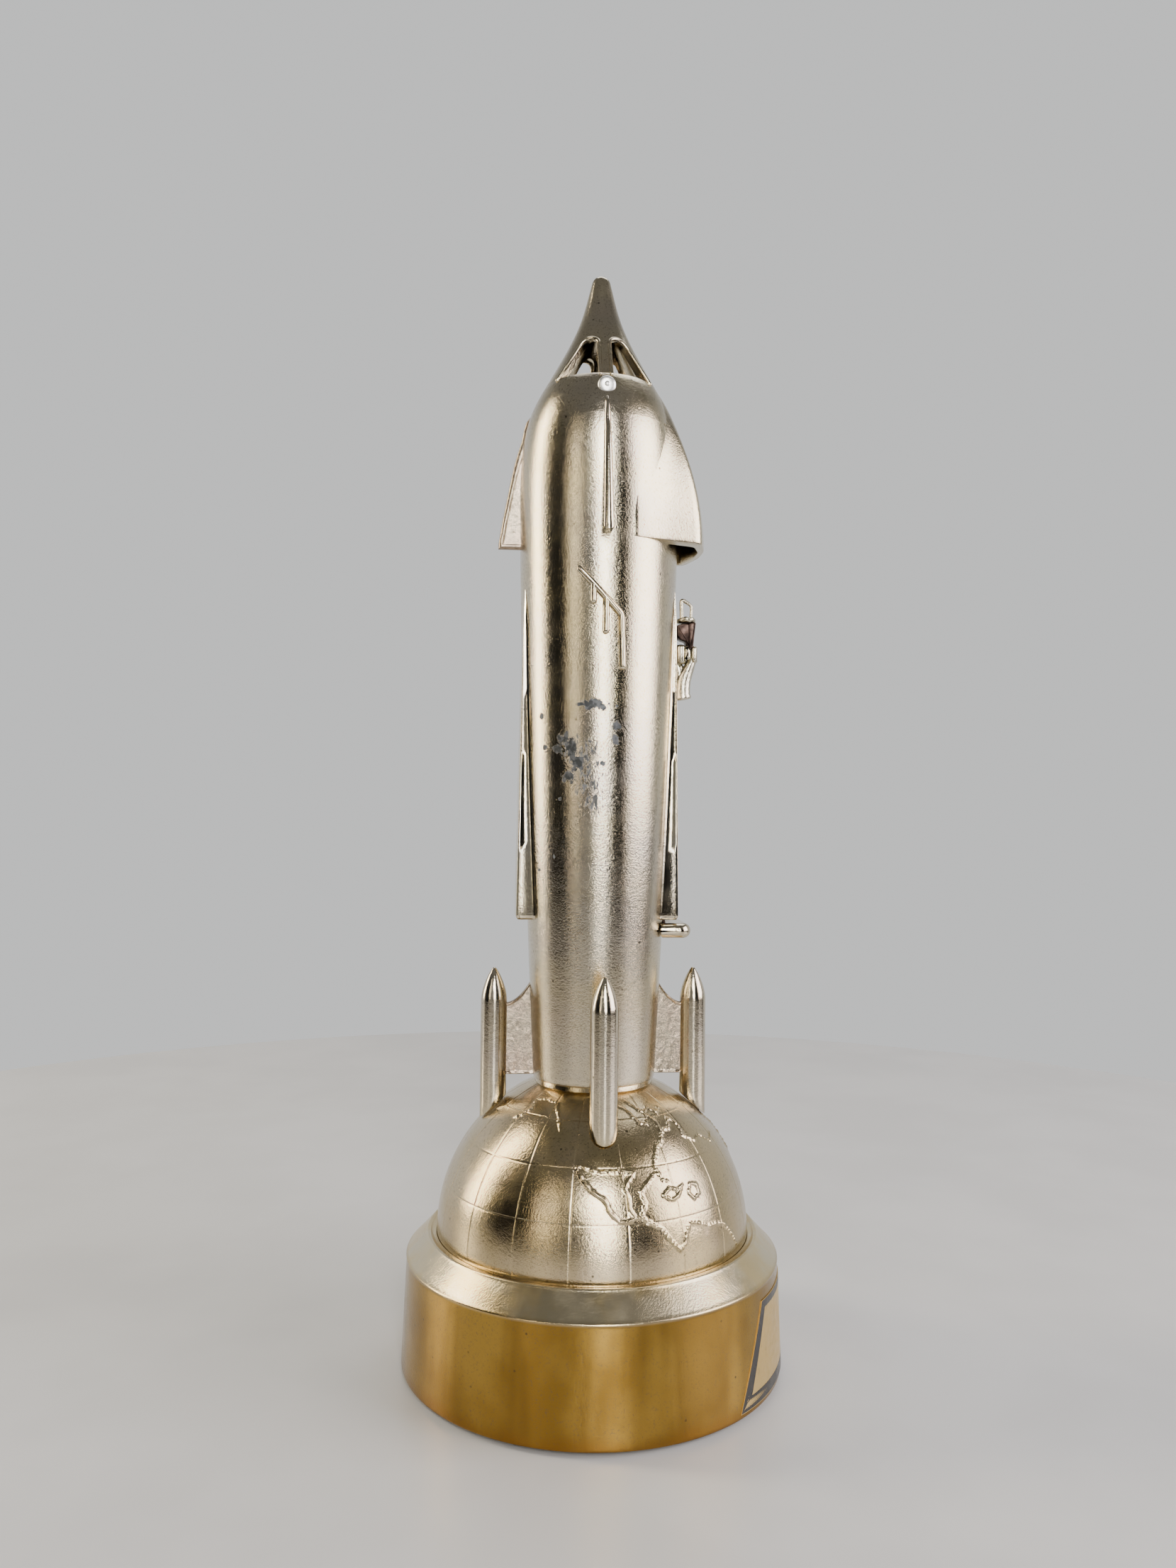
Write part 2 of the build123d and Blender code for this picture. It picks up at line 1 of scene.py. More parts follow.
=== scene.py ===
"""Rocket coin bank: the looks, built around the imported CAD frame.

The frame is in metres, +Z up, front towards -Y and coin hood towards +X. Shapes here are
worked out in millimetres and become metres when a mesh is made. Directions round the
axis are "bearings": degrees from the front, positive towards +X.
"""
import math

import bmesh
import bpy
import numpy as np
from mathutils import Matrix, Vector, noise


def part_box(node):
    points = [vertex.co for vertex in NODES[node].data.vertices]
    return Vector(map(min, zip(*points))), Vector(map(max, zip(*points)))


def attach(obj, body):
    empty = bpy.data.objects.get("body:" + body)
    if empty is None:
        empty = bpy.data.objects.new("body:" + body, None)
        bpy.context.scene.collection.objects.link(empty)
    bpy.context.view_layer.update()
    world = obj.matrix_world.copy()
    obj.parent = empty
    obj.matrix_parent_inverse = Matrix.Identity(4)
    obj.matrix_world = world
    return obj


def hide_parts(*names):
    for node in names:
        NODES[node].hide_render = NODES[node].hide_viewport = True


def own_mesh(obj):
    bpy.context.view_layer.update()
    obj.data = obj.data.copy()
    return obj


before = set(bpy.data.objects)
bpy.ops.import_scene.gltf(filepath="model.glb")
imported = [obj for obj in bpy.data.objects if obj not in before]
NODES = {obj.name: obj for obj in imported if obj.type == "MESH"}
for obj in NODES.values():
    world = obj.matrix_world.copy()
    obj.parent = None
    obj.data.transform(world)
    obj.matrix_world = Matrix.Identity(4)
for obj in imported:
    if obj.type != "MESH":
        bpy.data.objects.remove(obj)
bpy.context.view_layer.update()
MM = 0.001


def box_mm(node):
    low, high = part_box(node)
    return np.array(low) / MM, np.array(high) / MM


# ---------------------------------------------------------------- sizes, in millimetres
DRUM_LOW_Z, DRUM_RIDGE_Z = box_mm("base_drum")[0][2], box_mm("base_drum")[1][2]
DRUM_FOOT_R = 47.0
DRUM_EDGE_Z, DRUM_EDGE_R = 27.5, 46.0
RIDGE_R = 40.9
DRUM_WALL = 1.9
GLOBE_R, GLOBE_Z = 38.7, 33.0
NECK_R = 14.5
BODY_FOOT_Z, BODY_FOOT_R = 70.0, 15.3
BODY_WIDE_Z, BODY_WIDE_R = 212.0, 20.2
BODY_BULGE = 0.53
BODY_LOW_Z, SILL_Z = box_mm("body_back_shell")[0][2], box_mm("body_back_shell")[1][2]
SILL_R = 14.4
BODY_WALL = 1.5
SPIGOT_R, SPIGOT_BORE_R = 13.6, 12.4
NOSE_TOP_Z = box_mm("nose_cone")[1][2]
NOSE_LOW_Z = box_mm("nose_cone")[0][2]
NOSE_BALL_R = 2.45
RIVET_Z, RIVET_HEAD_R = 239.8, 2.25
FIN_LOW_Z = box_mm("left_tail_fin")[0][2]
FIN_REACH = -box_mm("left_tail_fin")[0][0]
FIN_HALF, FIN_ROOT, FIN_TOP_Z, FIN_PROUD_Z = 1.25, 12.0, 242.4, 236.8
HOOD_LOW_Z, HOOD_TOP_Z = FIN_LOW_Z, 239.4
HOOD_HALF, HOOD_ROOT_HALF = 12.6, 17.56
HOOD_REACH = box_mm("coin_hood")[1][0]
RAIL_X, RAIL_HALF = box_mm("launch_rail")[1][0], 7.0
RAIL_LOW_Z, RAIL_FADE_Z = box_mm("launch_rail")[0][2], 200.0
POD_RING_R, POD_R = 25.25, 3.3
POD_STRAIGHT_BELOW_TIP = 8.3
POD_GLOBE_GAP = 0.25
ROD_X = 17.0
LAUNCHER_X = 22.65
STROKE, SPRING_TURNS = 8.5, 16


# ---------------------------------------------------------------- curves and numbers
def cubic(xs, ys, start_slope, end_slope):
    """Smooth curve through a few points with set end slopes, as a function of x."""
    xs, ys = np.array(xs, float), np.array(ys, float)
    count = len(xs)
    gap = np.diff(xs)
    rise = np.diff(ys) / gap
    system, right = np.eye(count), np.zeros(count)
    right[0], right[-1] = start_slope, end_slope
    for i in range(1, count - 1):
        system[i, i - 1:i + 2] = gap[i], 2 * (gap[i - 1] + gap[i]), gap[i - 1]
        right[i] = 3 * (gap[i] * rise[i - 1] + gap[i - 1] * rise[i])
    slope = np.linalg.solve(system, right)

    def value(x):
        i = np.clip(np.searchsorted(xs, x, side="right") - 1, 0, count - 2)
        t = (x - xs[i]) / gap[i]
        hermite = (2 * t**3 - 3 * t**2 + 1) * ys[i] + (3 * t**2 - 2 * t**3) * ys[i + 1]
        return hermite + gap[i] * ((t**3 - 2 * t**2 + t) * slope[i] + (t**3 - t**2) * slope[i + 1])

    return value


SHOULDER = cubic([BODY_WIDE_Z, 227.4, 235.4, 243.6], [BODY_WIDE_R, 19.75, 18.25, SILL_R], 0.02, -0.588)
NOSE = cubic([243.6, 252.3, 261.0, 272.1], [SILL_R, 9.56, 5.5, 2.37], -0.56, -0.26)


def body_r(z):
    """Outer radius of the rocket at a height, body and nose."""
    z = np.asarray(z, float)
    share = np.clip((z - BODY_FOOT_Z) / (BODY_WIDE_Z - BODY_FOOT_Z), 0, 1)
    low = BODY_FOOT_R + share * (BODY_WIDE_R - BODY_FOOT_R) + BODY_BULGE * (1 - (2 * share - 1) ** 2)
    ball_z = NOSE_TOP_Z - NOSE_BALL_R
    ball = np.sqrt(np.maximum(NOSE_BALL_R**2 - np.maximum(z - ball_z, 0) ** 2, 0))
    r = np.where(z < BODY_WIDE_Z, low, SHOULDER(np.minimum(z, 243.6)))
    r = np.where(z > 243.6, NOSE(np.minimum(z, 272.1)), r)
    return np.where(z > 272.08, ball, r)


def rounded(points, radii, steps=5, closed=True):
    """Outline with each corner replaced by an arc-like curve of about that radius."""
    points = [np.array(p, float) for p in points]
    radii = [radii] * len(points) if np.isscalar(radii) else radii
    out = []
    for i, corner in enumerate(points):
        if radii[i] <= 0 or (not closed and i in (0, len(points) - 1)):
            out.append(corner)
            continue
        before, after = points[i - 1] - corner, points[(i + 1) % len(points)] - corner
        reach = [min(radii[i], 0.48 * np.linalg.norm(side)) for side in (before, after)]
        start = corner + before / np.linalg.norm(before) * reach[0]
        end = corner + after / np.linalg.norm(after) * reach[1]
        for t in np.linspace(0, 1, steps + 1):
            out.append((1 - t) ** 2 * start + 2 * t * (1 - t) * corner + t * t * end)
    return np.array(out)


def circle_turns(steps):
    """That many equal turns of a full circle, in radians."""
    return np.linspace(0, 2 * np.pi, steps, endpoint=False)


def resampled(points, spacing):
    """Points added along an open line so that no step is longer than spacing."""
    out = [points[0]]
    for a, b in zip(points, points[1:]):
        count = max(1, int(np.ceil(np.linalg.norm(b - a) / spacing)))
        out += [a + (b - a) * i / count for i in range(1, count + 1)]
    return np.array(out)


def bearing_xy(degrees, radius):
    """Plan position at a bearing from the front."""
    turn = np.radians(degrees)
    return radius * np.sin(turn), -radius * np.cos(turn)


def ripple(points, size, octaves=3, seed=0.0):
    """Smooth noise, about -1 to 1, for points in millimetres."""
    shift = Vector((seed, seed * 0.7, -seed))
    return np.array([noise.fractal(Vector(p) / size + shift, 1.0, 2.0, octaves) for p in points])


# ---------------------------------------------------------------- mesh tools
def mesh_object(name, points, faces):
    """An object in the scene, from millimetre points."""
    mesh = bpy.data.meshes.new(name)
    mesh.from_pydata((np.asarray(points) * MM).tolist(), [], faces)
    obj = bpy.data.objects.new(name, mesh)
    bpy.context.scene.collection.objects.link(obj)
    return obj


def piece(name, points, faces, material, body="bank", stands_for=(), angle=40):
    """A mesh piece from millimetre points; it rides on a body and may stand for CAD nodes."""
    obj = mesh_object(name, points, faces)
    clean(obj)
    return settle(obj, material, body, stands_for, angle)


def clean(obj, merge=1e-6):
    """Joins doubled points and turns every face outwards."""
    shape = bmesh.new()
    shape.from_mesh(obj.data)
    bmesh.ops.remove_doubles(shape, verts=shape.verts, dist=merge)
    bmesh.ops.dissolve_degenerate(shape, edges=shape.edges, dist=merge)
    bmesh.ops.recalc_face_normals(shape, faces=shape.faces)
    shape.to_mesh(obj.data)
    shape.free()


def settle(obj, material, body="bank", stands_for=(), angle=40):
    """Gives a piece its material, shading and body, and hides the CAD nodes it stands for."""
    obj.data.materials.clear()
    obj.data.materials.append(material)
    obj.data.shade_smooth()
    obj.data.set_sharp_from_angle(angle=math.radians(angle))
    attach(obj, body)
    if stands_for:
        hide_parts(*stands_for)
    return obj


def grid(rows, cols, wrap_rows=False, wrap_cols=False):
    """Quads over points laid out row by row."""
    row_count = rows if wrap_rows else rows - 1
    col_count = cols if wrap_cols else cols - 1
    return [(i * cols + j, i * cols + (j + 1) % cols, (i + 1) % rows * cols + (j + 1) % cols,
             (i + 1) % rows * cols + j) for i in range(row_count) for j in range(col_count)]


def capped_grid(rows, sides):
    """Faces of a stack of rings, with one face over each end."""
    faces = grid(rows, sides, wrap_cols=True)
    return faces + [tuple(range(sides))[::-1], tuple(range((rows - 1) * sides, rows * sides))]


def grid_edge(rows, cols):
    """Point numbers all round the edge of a grid, in order."""
    edge = list(range(cols)) + [i * cols + cols - 1 for i in range(1, rows)]
    edge += [(rows - 1) * cols + i for i in range(cols - 2, -1, -1)]
    return edge + [i * cols for i in range(rows - 2, 0, -1)]


def lathe_points(profile, steps, centre=(0, 0)):
    """A closed (radius, height) loop turned about an upright axis."""
    turns = circle_turns(steps)
    points = [(centre[0] + r * np.cos(t), centre[1] + r * np.sin(t), z) for t in turns for r, z in profile]
    return np.array(points), grid(steps, len(profile), wrap_rows=True, wrap_cols=True)


def tube(path, radius, sides=12, flatten=1.0, ends=True):
    """Round rod along a path, with domed ends; radius may be a list."""
    path = np.asarray(path, float)
    radius = np.broadcast_to(np.asarray(radius, float), len(path)).copy()
    if ends:
        steps = np.radians([80, 55, 30])
        first, last = path[0] - path[1], path[-1] - path[-2]
        head = [path[0] + first / np.linalg.norm(first) * radius[0] * np.sin(a) for a in steps]
        tail = [path[-1] + last / np.linalg.norm(last) * radius[-1] * np.sin(a) for a in steps[::-1]]
        radius = np.concatenate([radius[0] * np.cos(steps), radius, radius[-1] * np.cos(steps[::-1])])
        path = np.concatenate([head, path, tail])
    ahead = np.gradient(path, axis=0)
    ahead /= np.linalg.norm(ahead, axis=1)[:, None]
    side = np.cross(ahead, (0.31, 0.17, 0.93))
    side /= np.linalg.norm(side, axis=1)[:, None]
    up = np.cross(side, ahead)
    turns = circle_turns(sides)
    ring = [p + r * (np.cos(t) * s + flatten * np.sin(t) * u)
            for p, r, s, u in zip(path, radius, side, up) for t in turns]
    return np.array(ring), capped_grid(len(path), sides)


def joined(*parts):
    """Several (points, faces) as one."""
    points, faces, start = [], [], 0
    for some_points, some_faces in parts:
        points.append(some_points)
        faces += [tuple(i + start for i in f) for f in some_faces]
        start += len(some_points)
    return np.concatenate(points), faces


def stack(sections):
    """Loft between rings with the same number of points, closed at both ends."""
    return np.concatenate(sections), capped_grid(len(sections), len(sections[0]))


def plate(outline, half, bevel=0.25, spacing=1.5):
    """Flat part drawn as (x, z), thick along Y, with rounded edges."""
    edge = resampled(np.vstack([outline, outline[:1]]), spacing)[:-1]
    centre = edge.mean(0)
    ahead = np.roll(edge, -1, 0) - np.roll(edge, 1, 0)
    inward = np.stack([-ahead[:, 1], ahead[:, 0]], 1)
    inward /= np.maximum(np.linalg.norm(inward, axis=1), 1e-9)[:, None]
    area = np.sum(edge[:, 0] * np.roll(edge[:, 1], -1) - np.roll(edge[:, 0], -1) * edge[:, 1])
    inward *= np.sign(area)
    rings = []
    for inset, y in ((bevel, -half), (0.3 * bevel, -half + 0.3 * bevel), (0, -half + bevel),
                     (0, half - bevel), (0.3 * bevel, half - 0.3 * bevel), (bevel, half)):
        spot = edge + inward * inset
        rings.append(np.stack([spot[:, 0], np.full(len(spot), y), spot[:, 1]], 1))
    return stack(rings)


def turned_about(points, degrees):
    """Points turned about the rocket's axis, +X towards +Y."""
    c, s = math.cos(math.radians(degrees)), math.sin(math.radians(degrees))
    return points @ np.array([[c, s, 0], [-s, c, 0], [0, 0, 1]])


def cut(obj, *cutters):
    """Takes closed meshes away from a piece."""
    for points, faces in cutters:
        tool = mesh_object("cutter", points, faces)
        mesh = tool.data
        clean(tool)
        modifier = obj.modifiers.new("cut", "BOOLEAN")
        modifier.operation = "DIFFERENCE"
        modifier.solver = "EXACT"
        modifier.object = tool
        shape = bpy.context.evaluated_depsgraph_get()
        result = bpy.data.meshes.new_from_object(obj.evaluated_get(shape))
        obj.modifiers.clear()
        old = obj.data
        obj.data = result
        bpy.data.meshes.remove(old)
        bpy.data.objects.remove(tool)
        bpy.data.meshes.remove(mesh)


# ---------------------------------------------------------------- material tools
def add_node(tree, kind, **settings):
    node = tree.nodes.new(kind)
    for key, value in settings.items():
        setattr(node, key, value)
    return node


class Shader:
    """Short names for building one node material."""

    def __init__(self, name):
        self.material = bpy.data.materials.new(name)
        self.material.use_nodes = True
        self.tree = self.material.node_tree
        self.tree.nodes.clear()
        self.out = self.add("ShaderNodeOutputMaterial")
        self.surface = self.add("ShaderNodeBsdfPrincipled")
        self.link(self.surface.outputs["BSDF"], self.out.inputs["Surface"])
        self.place = self.add("ShaderNodeTexCoord").outputs["Object"]
        self.bumps = None

    def add(self, kind, **settings):
        return add_node(self.tree, kind, **settings)

    def link(self, source, target):
        self.tree.links.new(source, target)

    def put(self, value, socket):
        if isinstance(value, bpy.types.NodeSocket):
            self.link(value, socket)
        else:
            socket.default_value = value

    def math(self, operation, a, b=0.0, clamp=False):
        node = self.add("ShaderNodeMath", operation=operation, use_clamp=clamp)
        self.put(a, node.inputs[0])
        self.put(b, node.inputs[1])
        return node.outputs[0]

    def noise(self, size_mm, detail=3.0, roughness=0.55, stretch=(1, 1, 1)):
        """Cloudy noise whose blotches are about that many millimetres across."""
        mapping = self.add("ShaderNodeMapping")
        self.link(self.place, mapping.inputs["Vector"])
        mapping.inputs["Scale"].default_value = stretch
        node = self.add("ShaderNodeTexNoise")
        self.link(mapping.outputs["Vector"], node.inputs["Vector"])
        node.inputs["Scale"].default_value = 1 / (size_mm * MM)
        node.inputs["Detail"].default_value = detail
        node.inputs["Roughness"].default_value = roughness
        return node.outputs["Fac"]

    def spots(self, spacing_mm, radius_mm):
        """1 inside small scattered round pits, 0 outside."""
        node = self.add("ShaderNodeTexVoronoi")
        self.link(self.place, node.inputs["Vector"])
        node.inputs["Scale"].default_value = 1 / (spacing_mm * MM)
        share = radius_mm / spacing_mm
        return self.span(node.outputs["Distance"], share, share * 0.6, 0, 1)

    def span(self, value, low, high, to_low, to_high):
        """Maps low..high to to_low..to_high, smoothly and without overshoot."""
        node = self.add("ShaderNodeMapRange", interpolation_type="SMOOTHSTEP")
        self.put(value, node.inputs["Value"])
        for key, number in (("From Min", low), ("From Max", high), ("To Min", to_low), ("To Max", to_high)):
            node.inputs[key].default_value = number
        return node.outputs["Result"]

    def mix(self, share, a, b):
        node = self.add("ShaderNodeMix", data_type="RGBA")
        self.put(share, node.inputs[0])
        self.put(a if isinstance(a, bpy.types.NodeSocket) else (*a, 1), node.inputs[6])
        self.put(b if isinstance(b, bpy.types.NodeSocket) else (*b, 1), node.inputs[7])
        return node.outputs[2]

    def bump(self, height, depth_mm, strength=1.0):
        node = self.add("ShaderNodeBump")
        node.inputs["Strength"].default_value = strength
        node.inputs["Distance"].default_value = depth_mm * MM
        self.link(height, node.inputs["Height"])
        if self.bumps is not None:
            self.link(self.bumps, node.inputs["Normal"])
        self.bumps = node.outputs["Normal"]

    def height(self):
        """Height above the table, in millimetres."""
        node = self.add("ShaderNodeSeparateXYZ")
        self.link(self.place, node.inputs[0])
        return self.math("DIVIDE", node.outputs["Z"], MM)

    def near(self, centre, reach):
        """1 at a centre and 0 past an ellipsoid with those half-sizes, in millimetres."""
        shift = self.add("ShaderNodeVectorMath", operation="SUBTRACT")
        self.link(self.place, shift.inputs[0])
        shift.inputs[1].default_value = tuple(c * MM for c in centre)
        scale = self.add("ShaderNodeVectorMath", operation="MULTIPLY")
        self.link(shift.outputs[0], scale.inputs[0])
        scale.inputs[1].default_value = tuple(1 / (s * MM) for s in reach)
        length = self.add("ShaderNodeVectorMath", operation="LENGTH")
        self.link(scale.outputs[0], length.inputs[0])
        return self.math("SUBTRACT", 1.0, length.outputs["Value"], clamp=True)

    def finish(self, colour, metallic, roughness):
        self.put(colour if isinstance(colour, bpy.types.NodeSocket) else (*colour, 1),
                 self.surface.inputs["Base Color"])
        self.put(metallic, self.surface.inputs["Metallic"])
        self.put(roughness, self.surface.inputs["Roughness"])
        if self.bumps is not None:
            self.link(self.bumps, self.surface.inputs["Normal"])
        return self.material


CHAMPAGNE = (0.61, 0.53, 0.36)
CHAMPAGNE_GREY = (0.56, 0.50, 0.40)
ROSE = (0.60, 0.48, 0.38)
TARNISH = (0.032, 0.035, 0.037)
WEAR_BLOBS = (
    # bearing, height, half-width, half-height
    (-9, 162.0, 3.4, 1.7), (-17, 161.9, 2.4, 0.8), (-3, 161.4, 1.7, 1.3), (-30, 153.6, 2.6, 2.2),
    (-36, 151.2, 2.0, 1.2), (-25, 151.0, 2.0, 3.6), (-27, 144.6, 2.2, 1.9), (-20, 147.6, 2.0, 3.2),
    (9, 156.6, 1.2, 1.6), (9, 153.5, 1.5, 1.5), (-1, 147.8, 0.7, 0.7), (3, 162.2, 0.5, 0.5),
    (9, 161.6, 0.5, 0.5), (-51, 159.4, 0.9, 1.0), (-48, 151.9, 0.8, 0.9), (-34, 139.3, 0.6, 0.6),
    (-40, 125.5, 0.5, 0.9), (-57, 122.0, 0.8, 0.6))
SCUFF_BLOBS = (
    (-13, 149.0, 5.2, 5.5), (-11, 143.5, 4.6, 6.0), (-9, 138.6, 3.6, 4.6), (-24, 151.5, 3.8, 4.0))


def plated(name, low_colour, high_colour, roughness, grain_mm=0.5, grain_depth=0.05, pits=True,
           cast_mm=3.4, cast_depth=0.03, rosy=True):
    """Plate over cast zinc: sparkling grain, faint orange peel, clouded and rosy tint, small pits."""
    s = Shader(name)
    cloud = s.noise(22, 3)
    tint = s.span(cloud, 0.34, 0.68, 0, 1)
    colour = s.mix(tint, low_colour, high_colour)
    if rosy:
        colour = s.mix(s.span(s.noise(9, 2), 0.5, 0.75, 0, 0.25), colour, ROSE)
    grain = s.noise(grain_mm, 3, 0.75)
    speck = s.span(grain, 0.32, 0.47, 0.5, 0)
    colour = s.mix(speck, colour, (0.14, 0.115, 0.08))
    s.bump(s.noise(cast_mm, 2), cast_depth)
    s.bump(grain, grain_depth)
    dulled = s.span(s.noise(5, 4), 0.35, 0.7, roughness - 0.03, roughness + 0.04)
    if pits:
        pit = s.math("MULTIPLY", s.spots(3.4, 0.34), s.span(s.noise(9, 2), 0.5, 0.62, 0, 0.85))
        colour = s.mix(pit, colour, (0.08, 0.065, 0.04))
    return s, colour, dulled


def simple_plated(name, *args, **settings):
    s, colour, roughness = plated(name, *args, **settings)
    return s.finish(colour, 1.0, roughness)


def blob_mask(s, blobs):
    mask = None
    for bearing, z, wide, tall in blobs:
        x, y = bearing_xy(bearing, float(body_r(z)))
        blob = s.near((x, y, z), (wide, wide, tall))
        mask = blob if mask is None else s.math("MAXIMUM", mask, blob)
    return mask


def worn_plated(name):
    """Body plate worn through to dark metal in patches, with fine upright scuffs below them."""
    s, colour, roughness = plated(name, CHAMPAGNE, CHAMPAGNE_GREY, 0.145, grain_depth=0.06)
    patch = blob_mask(s, WEAR_BLOBS)
    ragged = s.math("MULTIPLY", s.math("SUBTRACT", s.noise(1.7, 5, 0.75), 0.5), 3.2)
    worn = s.span(s.math("ADD", patch, ragged), 0.28, 0.34, 0, 1)
    worn = s.math("MULTIPLY", worn, s.span(patch, 0.0, 0.06, 0, 1))
    scuff = blob_mask(s, SCUFF_BLOBS)
    strokes = s.math("MULTIPLY", s.math("SUBTRACT", s.noise(0.85, 4, 0.75, (1, 1, 0.36)), 0.53), 5.0)
    scuffed = s.span(s.math("ADD", s.math("MULTIPLY", scuff, 0.55), strokes), 0.30, 0.46, 0, 0.95)
    scuffed = s.math("MULTIPLY", scuffed, s.span(scuff, 0.02, 0.25, 0, 1))
    worn = s.math("MAXIMUM", worn, scuffed)
    dark = s.mix(s.span(s.noise(1.2, 3), 0.4, 0.62, 0, 1), TARNISH, (0.10, 0.105, 0.11))
    colour = s.mix(worn, colour, dark)
    s.bump(s.math("SUBTRACT", 1.0, worn), 0.06)
    rough = s.math("ADD", roughness, s.math("MULTIPLY", worn, 0.30))
    return s.finish(colour, s.math("SUBTRACT", 1.0, s.math("MULTIPLY", worn, 0.7)), rough)


def two_tone(name):
    """Drum: deep gold on its side, the gold darkened as a painted reflection of a dark floor; paler on the
    shoulder; brown upright streaks, and painted brown shade near the foot.
    """
    # The side's gold is darker than the metal itself: painted reflection of a dark floor.
    s, colour, roughness = plated(name, (0.27, 0.155, 0.028), (0.40, 0.25, 0.055), 0.15, cast_depth=0.02,
                                  rosy=False)
    streak = s.span(s.noise(16, 3, 0.6, (1, 1, 0.12)), 0.42, 0.62, 0, 0.55)
    colour = s.mix(streak, colour, (0.15, 0.085, 0.02))
    pale = s.span(s.height(), DRUM_EDGE_Z - 0.9, DRUM_EDGE_Z + 0.6, 0, 1)
    shoulder = s.mix(s.span(s.noise(11, 3), 0.4, 0.65, 0, 1), CHAMPAGNE, (0.62, 0.50, 0.27))
    colour = s.mix(pale, colour, shoulder)
    # Painted shade: the side turns darker brown towards the foot, with a ragged edge.
    foot = s.span(s.math("ADD", s.height(), s.math("MULTIPLY", s.noise(6, 3, 0.6, (1, 1, 0.3)), 5.0)),
                  3.5, 7.5, 0.55, 0)
    colour = s.mix(foot, colour, (0.24, 0.11, 0.018))
    return s.finish(colour, 1.0, s.math("ADD", roughness, s.math("MULTIPLY", pale, 0.07)))


def rough_cast(name):
    """Fin and web faces: coarse cast skin under the plate."""
    return simple_plated(name, (0.36, 0.31, 0.23), (0.40, 0.31, 0.24), 0.22, grain_mm=0.6,
                         grain_depth=0.12, cast_mm=1.4, cast_depth=0.10)


def steel(name, dark, light, roughness, metallic=1.0):
    s = Shader(name)
    colour = s.mix(s.span(s.noise(1.6, 4), 0.35, 0.7, 0, 1), dark, light)
    s.bump(s.noise(0.3, 2), 0.015)
    return s.finish(colour, metallic, s.span(s.noise(0.9, 3), 0.3, 0.7, roughness - 0.06, roughness + 0.08))


def rubber(name):
    s = Shader(name)
    colour = s.mix(s.span(s.noise(2.5, 4), 0.4, 0.7, 0, 1), (0.018, 0.016, 0.014), (0.05, 0.044, 0.038))
    s.bump(s.noise(0.5, 3), 0.04)
    return s.finish(colour, 0.0, s.span(s.noise(1.5, 3), 0.3, 0.7, 0.62, 0.82))


def foil(name, light, dark, metallic, roughness):
    s = Shader(name)
    scuff = s.span(s.noise(1.4, 5, 0.7, (1, 1, 0.35)), 0.55, 0.68, 0, 0.6)
    colour = s.mix(scuff, light, dark)
    s.bump(s.noise(4.0, 2), 0.03)
    return s.finish(colour, metallic, s.span(s.noise(2.0, 3), 0.3, 0.7, roughness - 0.06, roughness + 0.08))


body_plate = worn_plated("body plate")
plain_plate = simple_plated("champagne plate", CHAMPAGNE, CHAMPAGNE_GREY, 0.12, grain_depth=0.03)
globe_plate = simple_plated("globe plate", (0.50, 0.40, 0.22), (0.56, 0.46, 0.30), 0.17, grain_depth=0.05)
cast_plate = rough_cast("cast plate")
launcher_plate = simple_plated("launcher plate", (0.62, 0.58, 0.46), (0.45, 0.42, 0.30), 0.22, pits=False,
                               cast_mm=0.9, cast_depth=0.08)
drum_plate = two_tone("gold plate")
bright_plate = simple_plated("bright plate", (0.97, 0.96, 0.94), (0.94, 0.93, 0.90), 0.34, pits=False,
                             grain_depth=0.004, cast_depth=0.004)
dark_steel = steel("dark steel", (0.035, 0.024, 0.020), (0.085, 0.055, 0.045), 0.34)
zinc_steel = steel("zinc steel", (0.42, 0.42, 0.41), (0.58, 0.58, 0.56), 0.42)
lock_brass = steel("lock brass", (0.46, 0.33, 0.13), (0.62, 0.47, 0.22), 0.30)
foot_rubber = rubber("foot rubber")
label_gold = foil("label gold", (0.60, 0.43, 0.17), (0.40, 0.27, 0.10), 0.85, 0.36)
label_ink = foil("label ink", (0.012, 0.011, 0.011), (0.05, 0.04, 0.03), 0.0, 0.32)


# ---------------------------------------------------------------- drum, foot and label
def drum_r(z):
    return DRUM_FOOT_R + (z - DRUM_LOW_Z) / (DRUM_EDGE_Z - DRUM_LOW_Z) * (DRUM_EDGE_R - DRUM_FOOT_R)


